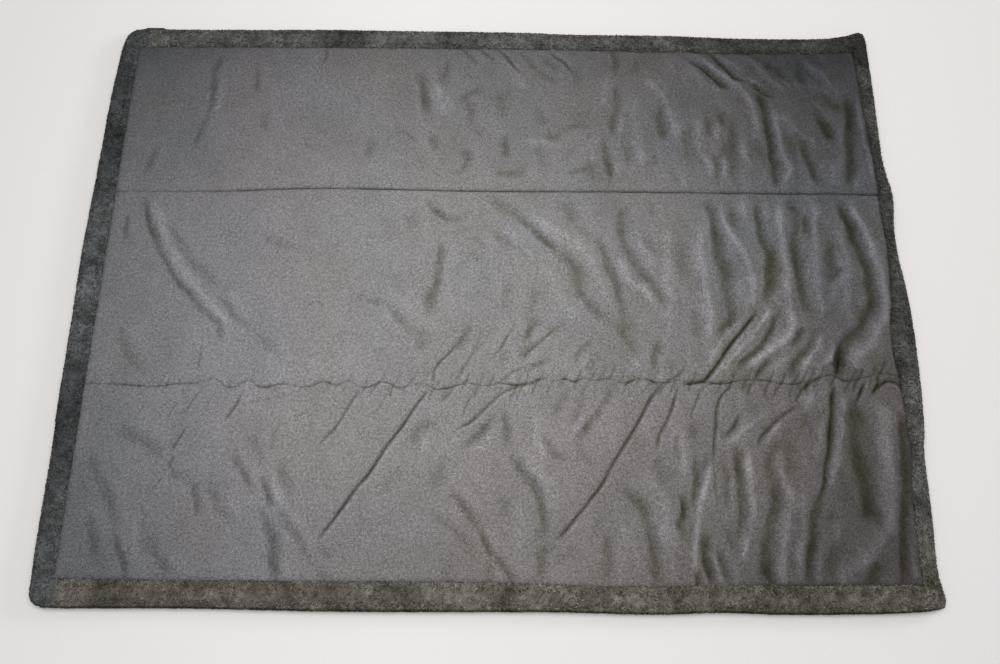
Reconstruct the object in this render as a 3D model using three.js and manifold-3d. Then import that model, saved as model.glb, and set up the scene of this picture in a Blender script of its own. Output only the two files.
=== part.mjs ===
import * as THREE from 'three';
import { mergeVertices } from 'three/addons/utils/BufferGeometryUtils.js';
import Module from 'manifold-3d';

// Plush far-infrared heated blanket, laid out flat. Millimetres, +Z up, resting on z = 0.
// GAP parts two pieces, and BITE is how far two solids of one piece run into each other.
// X runs along the blanket, -Y is the near edge and +Y the far edge.
// Three lengthwise panels are joined by two seams, and the outer two fold over the middle one.

// ---------- overall sizes ----------
const LENGTH = 2000;
const WIDTH = 1500;
const TOP_FLAP_DEPTH = 485;
const BOTTOM_FLAP_DEPTH = 510;
const CORNER_RADIUS = 45;
const BORDER_WIDTH = 55;
const GAP = 0.3;
const BITE = 0.2;

// ---------- layers, from the underside up ----------
const BACKING_PILE = 2.8;
const BACKING_GROUND = 1.2;
const BATTING = 2.6;
const FILM = 0.4;
const CARRIER = 0.6;
const FELT = 3.4;
const FACE_GROUND = 2.0;
const FACE_PILE = 4.5;

// ---------- border strip ----------
const EDGE_ROUND = 8;
const EDGE_WALL = 10;
const WINDOW_CORNER = 10;
const THREAD = 1.2;
const THREAD_BEVEL = 0.3;
const THREAD_LIFT = 0.6;
const TOP_JOIN_X = -0.36 * LENGTH;
const BOTTOM_JOIN_X = -0.24 * LENGTH;

// ---------- seams ----------
const SEAM_GROOVE = 4;
const ALLOWANCE_WIDTH = 12;
const ALLOWANCE_THICK = 0.5;
const PAD_SEAM_MARGIN = 25;
const PAD_EDGE_MARGIN = 5;

// ---------- heating ----------
const HEATER_ROWS = 6;
const HEATER_SEAM_MARGIN = 45;
const HEATER_EDGE_MARGIN = 30;
const CABLE_WIDTH = 3;
const CABLE_HEIGHT = 1.8;
const CABLE_BEVEL = 0.5;
const CHANNEL_CLEARANCE = 0.6;
const CHANNEL_ROOF = 0.6;
const TRUNK_WIDTH = 7;
const TRUNK_MARGIN = 35;
const SPLICE_LENGTH = 24;
const SPLICE_WIDTH = 5;
const CUTOUT_LENGTH = 24;
const CUTOUT_WIDTH = 9;
const SENSOR_LENGTH = 10;
const SENSOR_WIDTH = 5;
const SPLICE_OFFSET = 30;
const CUTOUT_OFFSET = 8;
const TAIL_LENGTH = 20;
const TAIL_SEAT = 2;
const CASE_HEADROOM = 0.1;

// ---------- supply inlet ----------
const INLET_WIDTH = 44;
const INLET_DEPTH = 35;
const INLET_WALL = 2.5;
const SOCKET_WIDTH = 30;
const SOCKET_DEPTH = 24;
const BEZEL_WIDTH = 50;
const BEZEL_THICK = 2.5;
const BEZEL_LIP = 2;
const BEZEL_CORNER = 3;
const PIN_RADIUS = 1.1;
const PIN_LENGTH = 14;
const PIN_SEAT = 5;
const PIN_PITCH = 8;
const PIN_COUNT = 3;

// ---------- derived heights ----------
const backingGroundZ = BACKING_PILE;
const battingZ = backingGroundZ + BACKING_GROUND + GAP;
const filmZ = battingZ + BATTING + GAP;
const carrierZ = filmZ + FILM + GAP;
const feltZ = carrierZ + CARRIER + GAP;
const faceGroundZ = feltZ + FELT + GAP;
const facePileZ = faceGroundZ + FACE_GROUND;
const TOTAL = facePileZ + FACE_PILE;
const channelTopZ = feltZ + FELT - CHANNEL_ROOF;
const cableTopZ = channelTopZ - GAP;
const cableZ = cableTopZ - CABLE_HEIGHT;

// ---------- derived plan positions ----------
const upperSeamY = WIDTH / 2 - TOP_FLAP_DEPTH;
const lowerSeamY = -WIDTH / 2 + BOTTOM_FLAP_DEPTH;
const trunkX = -LENGTH / 2 + BORDER_WIDTH + TRUNK_MARGIN;
const zones = [
  { name: 'top', y0: upperSeamY, y1: WIDTH / 2, seamBelow: true, seamAbove: false },
  { name: 'middle', y0: lowerSeamY, y1: upperSeamY, seamBelow: true, seamAbove: true },
  { name: 'bottom', y0: -WIDTH / 2, y1: lowerSeamY, seamBelow: false, seamAbove: true },
];

// ---------- materials: colour, roughness, metalness ----------
const FACE_PLUSH = [0x8b8989, 0.95, 0];
const FUR = [0x57534b, 1, 0];
const WADDING = [0xe4e1d8, 1, 0];
const FOIL = [0xc2c5c8, 0.3, 0.9];
const MESH_CLOTH = [0xcfc8b6, 0.95, 0];
const HEATER = [0x9a2f22, 0.5, 0];
const FELT_GREY = [0xb9b6b0, 1, 0];
const SEWING = [0x4a4947, 0.9, 0];
const LEAD = [0x2c2c2e, 0.5, 0];
const COPPER = [0xb87945, 0.35, 1];
const CASING = [0x1d1d1f, 0.45, 0];
const SENSOR = [0x20242c, 0.3, 0];
const BRASS = [0xc9a44c, 0.3, 1];

const wasm = await Module();
wasm.setup();

const group = new THREE.Group();
group.name = 'heated_blanket';

// ---------- helpers ----------
function solidOf(geometry) {
  const bare = geometry.clone();
  bare.deleteAttribute('normal');
  bare.deleteAttribute('uv');
  const joined = mergeVertices(bare, 1e-4);
  const vertProperties = new Float32Array(joined.attributes.position.array);
  const triVerts = new Uint32Array(joined.index.array);
  return new wasm.Manifold(new wasm.Mesh({ numProp: 3, vertProperties, triVerts }));
}

function geometryOf(solid) {
  const mesh = solid.getMesh();
  const geometry = new THREE.BufferGeometry();
  geometry.setAttribute('position', new THREE.BufferAttribute(mesh.vertProperties, 3));
  geometry.setIndex(new THREE.BufferAttribute(mesh.triVerts, 1));
  return geometry;
}

function addPart(name, solid, [color, roughness, metalness]) {
  const material = new THREE.MeshStandardMaterial({ color, roughness, metalness });
  const mesh = new THREE.Mesh(geometryOf(solid), material);
  mesh.name = name;
  group.add(mesh);
}

function block(x0, x1, y0, y1, z0, z1) {
  const geometry = new THREE.BoxGeometry(x1 - x0, y1 - y0, z1 - z0);
  geometry.translate((x0 + x1) / 2, (y0 + y1) / 2, (z0 + z1) / 2);
  return solidOf(geometry);
}

// A rectangle with rounded corners; a corner that meets a seam stays square.
function roundedRectangle(x0, x1, y0, y1, lowRadius, highRadius) {
  const shape = new THREE.Shape();
  shape.moveTo(x0 + lowRadius, y0);
  shape.lineTo(x1 - lowRadius, y0);
  if (lowRadius > 0) shape.absarc(x1 - lowRadius, y0 + lowRadius, lowRadius, -Math.PI / 2, 0);
  shape.lineTo(x1, y1 - highRadius);
  if (highRadius > 0) shape.absarc(x1 - highRadius, y1 - highRadius, highRadius, 0, Math.PI / 2);
  shape.lineTo(x0 + highRadius, y1);
  if (highRadius > 0) {
    shape.absarc(x0 + highRadius, y1 - highRadius, highRadius, Math.PI / 2, Math.PI);
  }
  shape.lineTo(x0, y0 + lowRadius);
  if (lowRadius > 0) shape.absarc(x0 + lowRadius, y0 + lowRadius, lowRadius, Math.PI, 1.5 * Math.PI);
  return shape;
}

function plate(shape, z0, z1) {
  const settings = { depth: z1 - z0, bevelEnabled: false, curveSegments: 5 };
  const geometry = new THREE.ExtrudeGeometry(shape, settings);
  geometry.translate(0, 0, z0);
  return solidOf(geometry);
}

// A flat strip of constant width that follows a line of points.
function bandShape(points, width) {
  const left = [];
  const right = [];
  points.forEach((point, i) => {
    const before = points[Math.max(i - 1, 0)];
    const after = points[Math.min(i + 1, points.length - 1)];
    const inward = point.clone().sub(before).normalize();
    const outward = after.clone().sub(point).normalize();
    const along = inward.clone().add(outward).normalize();
    const normal = new THREE.Vector2(-along.y, along.x);
    const reference = i === 0 ? outward : inward;
    const mitre = Math.max(along.dot(reference), 0.5);
    const offset = normal.multiplyScalar(width / 2 / mitre);
    left.push(point.clone().add(offset));
    right.push(point.clone().sub(offset));
  });
  return new THREE.Shape(left.concat(right.reverse()));
}

function band(points, width, z0, z1) {
  return plate(bandShape(points, width), z0, z1);
}

// The same strip with its edges eased; the ends are drawn in so that its length stays true.
function bevelledBand(points, width, z0, z1, bevel) {
  const line = points.map((point) => point.clone());
  const last = line.length - 1;
  line[0].add(points[1].clone().sub(points[0]).setLength(bevel));
  line[last].add(points[last - 1].clone().sub(points[last]).setLength(bevel));
  const settings = {
    depth: z1 - z0 - 2 * bevel,
    bevelEnabled: true,
    bevelSegments: 1,
    bevelSize: bevel,
    bevelThickness: bevel,
    curveSegments: 1,
  };
  const geometry = new THREE.ExtrudeGeometry(bandShape(line, width - 2 * bevel), settings);
  geometry.translate(0, 0, z0 + bevel);
  return solidOf(geometry);
}

const at = (x, y) => new THREE.Vector2(x, y);

function arc(centreX, centreY, radius, from, to, steps) {
  const points = [];
  for (let i = 0; i <= steps; i += 1) {
    const angle = from + ((to - from) * i) / steps;
    points.push(at(centreX + radius * Math.cos(angle), centreY + radius * Math.sin(angle)));
  }
  return points;
}

// The part of the blanket's plan that belongs to one panel, drawn in from the free edges.
function zonePlate(zone, inset, seamInset, radius, z0, z1) {
  const y0 = zone.y0 + (zone.seamBelow ? seamInset : inset);
  const y1 = zone.y1 - (zone.seamAbove ? seamInset : inset);
  const low = zone.seamBelow ? 0 : radius;
  const high = zone.seamAbove ? 0 : radius;
  return plate(roundedRectangle(-LENGTH / 2 + inset, LENGTH / 2 - inset, y0, y1, low, high), z0, z1);
}

function zoneBox(zone) {
  const y0 = zone.y0 + (zone.seamBelow ? GAP / 2 : -1);
  const y1 = zone.y1 - (zone.seamAbove ? GAP / 2 : -1);
  return { y0, y1 };
}

function seamsOf(zone) {
  const seams = [];
  if (zone.seamBelow) seams.push({ y: zone.y0, inward: 1 });
  if (zone.seamAbove) seams.push({ y: zone.y1, inward: -1 });
  return seams;
}

// ---------- inlet envelope, cut out of the cloth around it ----------
const inletBackY = WIDTH / 2 - GAP - BEZEL_THICK - GAP - INLET_DEPTH;
const inletFrontY = inletBackY + INLET_DEPTH;
const inletZ0 = BACKING_PILE;
const inletZ1 = facePileZ;
const inletSpace = block(
  trunkX - INLET_WIDTH / 2 - GAP,
  trunkX + INLET_WIDTH / 2 + GAP,
  inletBackY - GAP,
  inletFrontY + GAP,
  inletZ0 - GAP,
  inletZ1 + GAP,
);
const bezelSpace = block(
  trunkX - BEZEL_WIDTH / 2 - GAP,
  trunkX + BEZEL_WIDTH / 2 + GAP,
  inletFrontY,
  WIDTH / 2 + 1,
  inletZ0 - BEZEL_LIP - GAP,
  inletZ1 + BEZEL_LIP + GAP,
);

// ---------- fur backing and plush face, one of each for every panel ----------
const groundInset = EDGE_WALL + GAP;
const groundRadius = CORNER_RADIUS - groundInset;
const backingTopZ = battingZ - GAP;
const pileInset = BORDER_WIDTH + THREAD + 2 * GAP;
for (const zone of zones) {
  const ground = (z0, z1) => zonePlate(zone, groundInset, GAP / 2, groundRadius, z0, z1);
  const pile = (inset, z0, z1) => zonePlate(zone, inset, GAP / 2, WINDOW_CORNER, z0, z1);
  let backing = ground(backingGroundZ, backingTopZ);
  backing = backing.add(pile(BORDER_WIDTH + GAP, 0, backingGroundZ + BITE));
  let face = ground(faceGroundZ, facePileZ).add(pile(pileInset, facePileZ - BITE, TOTAL));
  for (const seam of seamsOf(zone)) {
    const near = seam.y + (seam.inward * GAP) / 2;
    const far = near + seam.inward * ALLOWANCE_WIDTH;
    const [y0, y1] = [Math.min(near, far), Math.max(near, far)];
    const [x0, x1] = [-LENGTH / 2 + BORDER_WIDTH, LENGTH / 2 - BORDER_WIDTH];
    face = face.add(block(x0, x1, y0, y1, faceGroundZ - ALLOWANCE_THICK, faceGroundZ + BITE));
    backing = backing.add(block(x0, x1, y0, y1, backingTopZ - BITE, backingTopZ + ALLOWANCE_THICK));
    const grooveSide = SEAM_GROOVE * Math.SQRT2;
    const groove = new THREE.BoxGeometry(LENGTH, grooveSide, grooveSide);
    groove.rotateX(Math.PI / 4);
    groove.translate(0, seam.y, TOTAL);
    face = face.subtract(solidOf(groove));
  }
  addPart(`backing_panel_${zone.name}`, backing.subtract(inletSpace), FUR);
  addPart(`face_panel_${zone.name}`, face.subtract(inletSpace), FACE_PLUSH);
}

function threadRod(line, z) {
  return bevelledBand(line, THREAD, z, z + THREAD, THREAD_BEVEL);
}

// ---------- seam threads, lying in the grooves ----------
const seamThreadZ = TOTAL - SEAM_GROOVE + GAP + THREAD_LIFT;
for (const [name, y] of [['upper', upperSeamY], ['lower', lowerSeamY]]) {
  const reach = LENGTH / 2 - pileInset - GAP;
  const line = [at(-reach, y), at(reach, y)];
  addPart(`seam_thread_${name}`, threadRod(line, seamThreadZ), SEWING);
}

// ---------- fur border strips wrapped round the edge ----------
const bodyShape = roundedRectangle(
  -LENGTH / 2 + EDGE_ROUND,
  LENGTH / 2 - EDGE_ROUND,
  -WIDTH / 2 + EDGE_ROUND,
  WIDTH / 2 - EDGE_ROUND,
  CORNER_RADIUS - EDGE_ROUND,
  CORNER_RADIUS - EDGE_ROUND,
);
const bodyGeometry = new THREE.ExtrudeGeometry(bodyShape, {
  depth: TOTAL - 2 * EDGE_ROUND,
  bevelEnabled: true,
  bevelSegments: 3,
  bevelSize: EDGE_ROUND,
  bevelThickness: EDGE_ROUND,
  curveSegments: 5,
});
bodyGeometry.translate(0, 0, EDGE_ROUND);
const pocket = plate(
  roundedRectangle(
    -LENGTH / 2 + EDGE_WALL,
    LENGTH / 2 - EDGE_WALL,
    -WIDTH / 2 + EDGE_WALL,
    WIDTH / 2 - EDGE_WALL,
    CORNER_RADIUS - EDGE_WALL,
    CORNER_RADIUS - EDGE_WALL,
  ),
  BACKING_PILE - GAP,
  facePileZ + GAP,
);
const window = plate(
  roundedRectangle(
    -LENGTH / 2 + BORDER_WIDTH,
    LENGTH / 2 - BORDER_WIDTH,
    -WIDTH / 2 + BORDER_WIDTH,
    WIDTH / 2 - BORDER_WIDTH,
    WINDOW_CORNER,
    WINDOW_CORNER,
  ),
  -1,
  TOTAL + 1,
);
const border = solidOf(bodyGeometry)
  .subtract(pocket)
  .subtract(window)
  .subtract(inletSpace)
  .subtract(bezelSpace);
for (const zone of zones) {
  const join = { top: TOP_JOIN_X, middle: 0, bottom: BOTTOM_JOIN_X }[zone.name];
  const { y0, y1 } = zoneBox(zone);
  const left = block(-LENGTH / 2 - 1, join - GAP / 2, y0, y1, -1, TOTAL + 1);
  const right = block(join + GAP / 2, LENGTH / 2 + 1, y0, y1, -1, TOTAL + 1);
  addPart(`border_${zone.name}_left`, border.intersect(left), FUR);
  addPart(`border_${zone.name}_right`, border.intersect(right), FUR);
}

// ---------- threads that sew the border down along its inner edge ----------
const threadInset = BORDER_WIDTH + GAP + THREAD / 2;
const threadX = LENGTH / 2 - threadInset;
const threadEnd = 2 * SEAM_GROOVE;
const THREAD_CORNER_STEPS = 4;
for (const zone of zones) {
  const low = zone.seamBelow ? zone.y0 + threadEnd : zone.y0 + threadInset;
  const high = zone.seamAbove ? zone.y1 - threadEnd : zone.y1 - threadInset;
  const z = facePileZ + THREAD_LIFT;
  if (zone.name === 'middle') {
    for (const [side, x] of [['left', -threadX], ['right', threadX]]) {
      const line = [at(x, low), at(x, high)];
      addPart(`border_thread_middle_${side}`, threadRod(line, z), SEWING);
    }
  } else {
    const radius = WINDOW_CORNER - GAP - THREAD / 2;
    const free = zone.seamBelow ? high : low;
    const seamEnd = zone.seamBelow ? low : high;
    const outward = zone.seamBelow ? 1 : -1;
    const cornerX = threadX - radius;
    const cornerY = free - outward * radius;
    const upright = (outward * Math.PI) / 2;
    const line = [
      at(-threadX, seamEnd),
      ...arc(-cornerX, cornerY, radius, Math.PI, Math.PI - upright, THREAD_CORNER_STEPS),
      ...arc(cornerX, cornerY, radius, upright, 0, THREAD_CORNER_STEPS),
      at(threadX, seamEnd),
    ];
    addPart(`border_thread_${zone.name}`, threadRod(line, z), SEWING);
  }
}

// ---------- inner layers and heating circuit of each panel ----------
const padInset = BORDER_WIDTH + PAD_EDGE_MARGIN;
const padTopZ = feltZ + FELT;
const caseTopZ = padTopZ - CASE_HEADROOM;
const spliceX = trunkX + SPLICE_OFFSET;
const cutoutX = trunkX + CUTOUT_OFFSET;
const tailEndX = cutoutX + CUTOUT_LENGTH + TAIL_LENGTH;
const heaterX1 = LENGTH / 2 - padInset - HEATER_EDGE_MARGIN;

function crimpSleeve(x, y) {
  const half = SPLICE_LENGTH / 2;
  const outer = block(
    x - half,
    x + half,
    y - SPLICE_WIDTH / 2,
    y + SPLICE_WIDTH / 2,
    feltZ,
    caseTopZ,
  );
  const boreHalf = CABLE_WIDTH / 2 + GAP;
  const bore = block(
    x - half - 1,
    x + half + 1,
    y - boreHalf,
    y + boreHalf,
    cableZ - GAP,
    cableTopZ + GAP,
  );
  return outer.subtract(bore);
}

for (const zone of zones) {
  const layer = (z0, thickness) =>
    zonePlate(zone, padInset, PAD_SEAM_MARGIN, WINDOW_CORNER, z0, z0 + thickness);
  addPart(`batting_${zone.name}`, layer(battingZ, BATTING), WADDING);
  addPart(`reflector_film_${zone.name}`, layer(filmZ, FILM), FOIL);
  addPart(`heater_carrier_${zone.name}`, layer(carrierZ, CARRIER), MESH_CLOTH);

  // serpentine of long parallel runs, both ends at the left side
  const freeMargin = padInset + HEATER_EDGE_MARGIN;
  const rowY0 = zone.y0 + (zone.seamBelow ? HEATER_SEAM_MARGIN : freeMargin);
  const rowY1 = zone.y1 - (zone.seamAbove ? HEATER_SEAM_MARGIN : freeMargin);
  const pitch = (rowY1 - rowY0) / (HEATER_ROWS - 1);
  const turn = pitch / 2;
  const turnLeftX = trunkX + TRUNK_WIDTH + CUTOUT_LENGTH + turn;
  const turnRightX = heaterX1 - turn;
  const lowEndX = spliceX + GAP;
  const highEndX = tailEndX + GAP;
  const run = [at(lowEndX, rowY0)];
  for (let row = 0; row < HEATER_ROWS - 1; row += 1) {
    const y = rowY0 + row * pitch + turn;
    const rightTurn = row % 2 === 0;
    const centreX = rightTurn ? turnRightX : turnLeftX;
    const sweep = rightTurn ? [-Math.PI / 2, Math.PI / 2] : [-Math.PI / 2, -1.5 * Math.PI];
    run.push(...arc(centreX, y, turn, sweep[0], sweep[1], 6));
  }
  run.push(at(highEndX, rowY1));
  const cable = bevelledBand(run, CABLE_WIDTH, cableZ, cableTopZ, CABLE_BEVEL);
  addPart(`heater_cable_${zone.name}`, cable, HEATER);
  const channelWidth = CABLE_WIDTH + 2 * CHANNEL_CLEARANCE;
  let felt = layer(feltZ, FELT).subtract(band(run, channelWidth, feltZ - 1, channelTopZ));

  // supply lead: a trunk along Y with a branch to each end of the heater cable
  const trunkHigh = zone.seamAbove ? zone.y1 - GAP / 2 : inletBackY + PIN_SEAT;
  const trunkLow = zone.seamBelow ? zone.y0 + GAP / 2 : rowY0 - TRUNK_WIDTH / 2;
  const trunkLine = [at(trunkX, trunkLow), at(trunkX, trunkHigh)];
  const lowBranch = [at(trunkX, rowY0), at(spliceX - GAP, rowY0)];
  const highBranch = [at(trunkX, rowY1), at(cutoutX + PIN_SEAT - GAP, rowY1)];
  let lead = band(trunkLine, TRUNK_WIDTH, cableZ, cableTopZ);
  let leadSpace = band(trunkLine, TRUNK_WIDTH + 2 * CHANNEL_CLEARANCE, feltZ - 1, channelTopZ);
  for (const branch of [lowBranch, highBranch]) {
    lead = lead.add(band(branch, CABLE_WIDTH, cableZ, cableTopZ));
    leadSpace = leadSpace.add(band(branch, channelWidth, feltZ - 1, channelTopZ));
  }
  addPart(`supply_lead_${zone.name}`, lead, LEAD);
  felt = felt.subtract(leadSpace);

  // thermal cut-out in series with the high end, its tail going into a crimp sleeve
  const fuse = block(
    cutoutX,
    cutoutX + CUTOUT_LENGTH,
    rowY1 - CUTOUT_WIDTH / 2,
    rowY1 + CUTOUT_WIDTH / 2,
    feltZ,
    caseTopZ,
  );
  const fuseBore = block(
    cutoutX - 1,
    cutoutX + PIN_SEAT,
    rowY1 - CABLE_WIDTH / 2 - GAP,
    rowY1 + CABLE_WIDTH / 2 + GAP,
    cableZ - GAP,
    cableTopZ + GAP,
  );
  const tailLine = [at(cutoutX + CUTOUT_LENGTH - TAIL_SEAT, rowY1), at(tailEndX - GAP, rowY1)];
  const tail = band(tailLine, CABLE_WIDTH, cableZ, cableTopZ);
  addPart(`thermal_cutout_${zone.name}`, fuse.subtract(fuseBore).add(tail), CASING);
  addPart(`splice_low_${zone.name}`, crimpSleeve(spliceX, rowY0), COPPER);
  addPart(`splice_high_${zone.name}`, crimpSleeve(tailEndX, rowY1), COPPER);
  const room = (x0, x1, y, width) =>
    block(x0 - GAP, x1 + GAP, y - width / 2 - GAP, y + width / 2 + GAP, feltZ - 1, padTopZ + 1);
  const sleeveHalf = SPLICE_LENGTH / 2;
  felt = felt.subtract(room(cutoutX, cutoutX + CUTOUT_LENGTH, rowY1, CUTOUT_WIDTH));
  felt = felt.subtract(room(spliceX - sleeveHalf, spliceX + sleeveHalf, rowY0, SPLICE_WIDTH));
  felt = felt.subtract(room(cutoutX + CUTOUT_LENGTH - 1, tailEndX + sleeveHalf, rowY1, SPLICE_WIDTH));

  // temperature sensor between two heater runs of the middle panel
  if (zone.name === 'middle') {
    const y = (rowY0 + rowY1) / 2;
    const sensor = block(
      0,
      SENSOR_LENGTH,
      y - SENSOR_WIDTH / 2,
      y + SENSOR_WIDTH / 2,
      feltZ,
      caseTopZ,
    );
    const socket = block(
      -1,
      PIN_SEAT,
      y - CABLE_WIDTH / 2 - GAP,
      y + CABLE_WIDTH / 2 + GAP,
      cableZ - GAP,
      cableTopZ + GAP,
    );
    const line = [at(trunkX + TRUNK_WIDTH / 2 + GAP, y), at(PIN_SEAT - GAP, y)];
    addPart('temperature_sensor', sensor.subtract(socket), SENSOR);
    addPart('sensor_lead', bevelledBand(line, CABLE_WIDTH, cableZ, cableTopZ, CABLE_BEVEL), LEAD);
    const sensorRun = [at(trunkX, y), at(SENSOR_LENGTH / 2, y)];
    felt = felt.subtract(band(sensorRun, channelWidth, feltZ - 1, channelTopZ));
    felt = felt.subtract(room(0, SENSOR_LENGTH, y, SENSOR_WIDTH));
  }
  addPart(`cushion_felt_${zone.name}`, felt, FELT_GREY);
}

// ---------- supply inlet in the far edge ----------
const socketZ0 = inletZ0 + INLET_WALL;
const socketZ1 = inletZ1 - INLET_WALL;
const socketBackY = inletFrontY - SOCKET_DEPTH;
const pinZ = (socketZ0 + socketZ1) / 2;
const socketSpace = block(
  trunkX - SOCKET_WIDTH / 2,
  trunkX + SOCKET_WIDTH / 2,
  socketBackY,
  WIDTH / 2 + 1,
  socketZ0,
  socketZ1,
);
let housing = block(
  trunkX - INLET_WIDTH / 2,
  trunkX + INLET_WIDTH / 2,
  inletBackY,
  inletFrontY,
  inletZ0,
  inletZ1,
).subtract(socketSpace);
housing = housing.subtract(
  block(
    trunkX - TRUNK_WIDTH / 2 - GAP,
    trunkX + TRUNK_WIDTH / 2 + GAP,
    inletBackY - 1,
    inletBackY + PIN_SEAT + GAP,
    cableZ - GAP,
    cableTopZ + GAP,
  ),
);
for (let i = 0; i < PIN_COUNT; i += 1) {
  const x = trunkX + (i - (PIN_COUNT - 1) / 2) * PIN_PITCH;
  const place = (radius, y0, y1) => {
    const geometry = new THREE.CylinderGeometry(radius, radius, y1 - y0, 12);
    geometry.translate(x, (y0 + y1) / 2, pinZ);
    return solidOf(geometry);
  };
  const y0 = socketBackY - PIN_SEAT;
  housing = housing.subtract(place(PIN_RADIUS + GAP, y0 - GAP, socketBackY + 1));
  addPart(`contact_pin_${i + 1}`, place(PIN_RADIUS, y0, y0 + PIN_LENGTH), BRASS);
}
addPart('inlet_housing', housing, CASING);
const bezelShape = roundedRectangle(
  -BEZEL_WIDTH / 2,
  BEZEL_WIDTH / 2,
  inletZ0 - BEZEL_LIP,
  inletZ1 + BEZEL_LIP,
  BEZEL_CORNER,
  BEZEL_CORNER,
);
const bezelGeometry = new THREE.ExtrudeGeometry(bezelShape, {
  depth: BEZEL_THICK,
  bevelEnabled: false,
  curveSegments: 4,
});
bezelGeometry.rotateX(Math.PI / 2);
bezelGeometry.translate(trunkX, WIDTH / 2 - GAP, 0);
addPart('inlet_bezel', solidOf(bezelGeometry).subtract(socketSpace), CASING);

export default group;
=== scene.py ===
import math

import bpy
import numpy as np
from mathutils import Matrix, Vector


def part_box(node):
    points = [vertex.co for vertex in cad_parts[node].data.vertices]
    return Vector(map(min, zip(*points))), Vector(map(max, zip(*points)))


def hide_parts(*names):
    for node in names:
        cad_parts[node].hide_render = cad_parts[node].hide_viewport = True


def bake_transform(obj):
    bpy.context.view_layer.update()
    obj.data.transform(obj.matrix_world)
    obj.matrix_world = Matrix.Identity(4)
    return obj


# Plush heated blanket spread flat: soft skins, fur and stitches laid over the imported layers.
# Row frame in metres: X along the blanket, -Y the near edge, +Z up, resting on z = 0.

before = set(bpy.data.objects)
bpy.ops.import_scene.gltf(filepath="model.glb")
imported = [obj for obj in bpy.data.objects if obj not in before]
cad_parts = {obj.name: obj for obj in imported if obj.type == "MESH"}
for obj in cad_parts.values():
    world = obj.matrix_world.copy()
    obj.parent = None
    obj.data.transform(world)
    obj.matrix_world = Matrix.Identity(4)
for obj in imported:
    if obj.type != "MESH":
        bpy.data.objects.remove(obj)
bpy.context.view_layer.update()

MM = 0.001
rng = np.random.default_rng(7)

# ---------------------------------------------------------------- sizes taken from the frame
face_low, face_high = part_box("face_panel_middle")
TOP = face_high.z
FELT_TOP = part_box("cushion_felt_middle")[1].z
bezel_low, bezel_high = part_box("inlet_bezel")

# ---------------------------------------------------------------- how the blanket lies
# Its outline as it was spread by hand, clockwise from the near left corner, and the line where
# plush meets fur. It strays a few millimetres from the cut rectangle.
OUTLINE = [
    (-0.970, -0.7508), (-0.990, -0.7397), (-0.9971, -0.7187), (-0.9979, -0.690), (-1.0001, -0.600),
    (-1.0003, -0.400), (-1.0043, -0.300), (-1.0057, -0.100), (-1.0087, 0.100), (-1.0043, 0.300),
    (-1.0017, 0.500), (-0.9977, 0.600), (-0.9925, 0.680), (-0.9871, 0.713), (-0.9797, 0.7297),
    (-0.9657, 0.7425), (-0.9477, 0.7490), (-0.850, 0.7492), (-0.650, 0.7496), (-0.450, 0.7515),
    (-0.250, 0.7498), (0.050, 0.7477), (0.200, 0.7425), (0.450, 0.7407), (0.650, 0.7337),
    (0.850, 0.7339), (0.930, 0.7433), (0.9535, 0.7500), (0.9735, 0.7554), (0.9850, 0.7500),
    (0.9886, 0.7386), (0.9918, 0.7157), (0.992, 0.680), (0.9924, 0.550), (0.9905, 0.380),
    (0.996, 0.320), (1.0043, 0.255), (0.995, 0.170), (0.9955, 0.100), (1.0047, 0.000),
    (1.0078, -0.100), (1.0055, -0.230), (0.9985, -0.340), (0.990, -0.400), (0.9870, -0.550),
    (0.9825, -0.650), (0.9873, -0.6953), (0.9911, -0.7153), (0.9885, -0.7320), (0.9790, -0.7405),
    (0.930, -0.7478), (0.850, -0.7517), (0.650, -0.7552), (0.500, -0.7525), (0.350, -0.7575),
    (0.150, -0.754), (-0.100, -0.7555), (-0.350, -0.7564), (-0.650, -0.7526), (-0.930, -0.754),
]
INNER_LEFT = -0.947
INNER_RIGHT = [(-0.75, 0.945), (-0.6, 0.945), (-0.5, 0.948), (-0.4, 0.959), (-0.3, 0.960), (-0.2, 0.953),
               (-0.1, 0.950), (-0.04, 0.959), (0.02, 0.967), (0.2, 0.968), (0.4, 0.965), (0.5, 0.958),
               (0.6, 0.955), (0.75, 0.943)]
INNER_FAR = [(-1.0, 0.689), (-0.5, 0.692), (0.2, 0.690), (0.7, 0.683), (1.0, 0.690)]
INNER_NEAR = [(-1.0, -0.691), (-0.5, -0.693), (0.0, -0.692), (0.3, -0.699), (0.6, -0.693), (1.0, -0.690)]
UPPER_LINE = [(-1.0, 0.2555), (-0.8, 0.257), (-0.65, 0.260), (-0.55, 0.266), (0.0, 0.265), (0.3, 0.266),
              (0.6, 0.265), (1.0, 0.263)]
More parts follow.
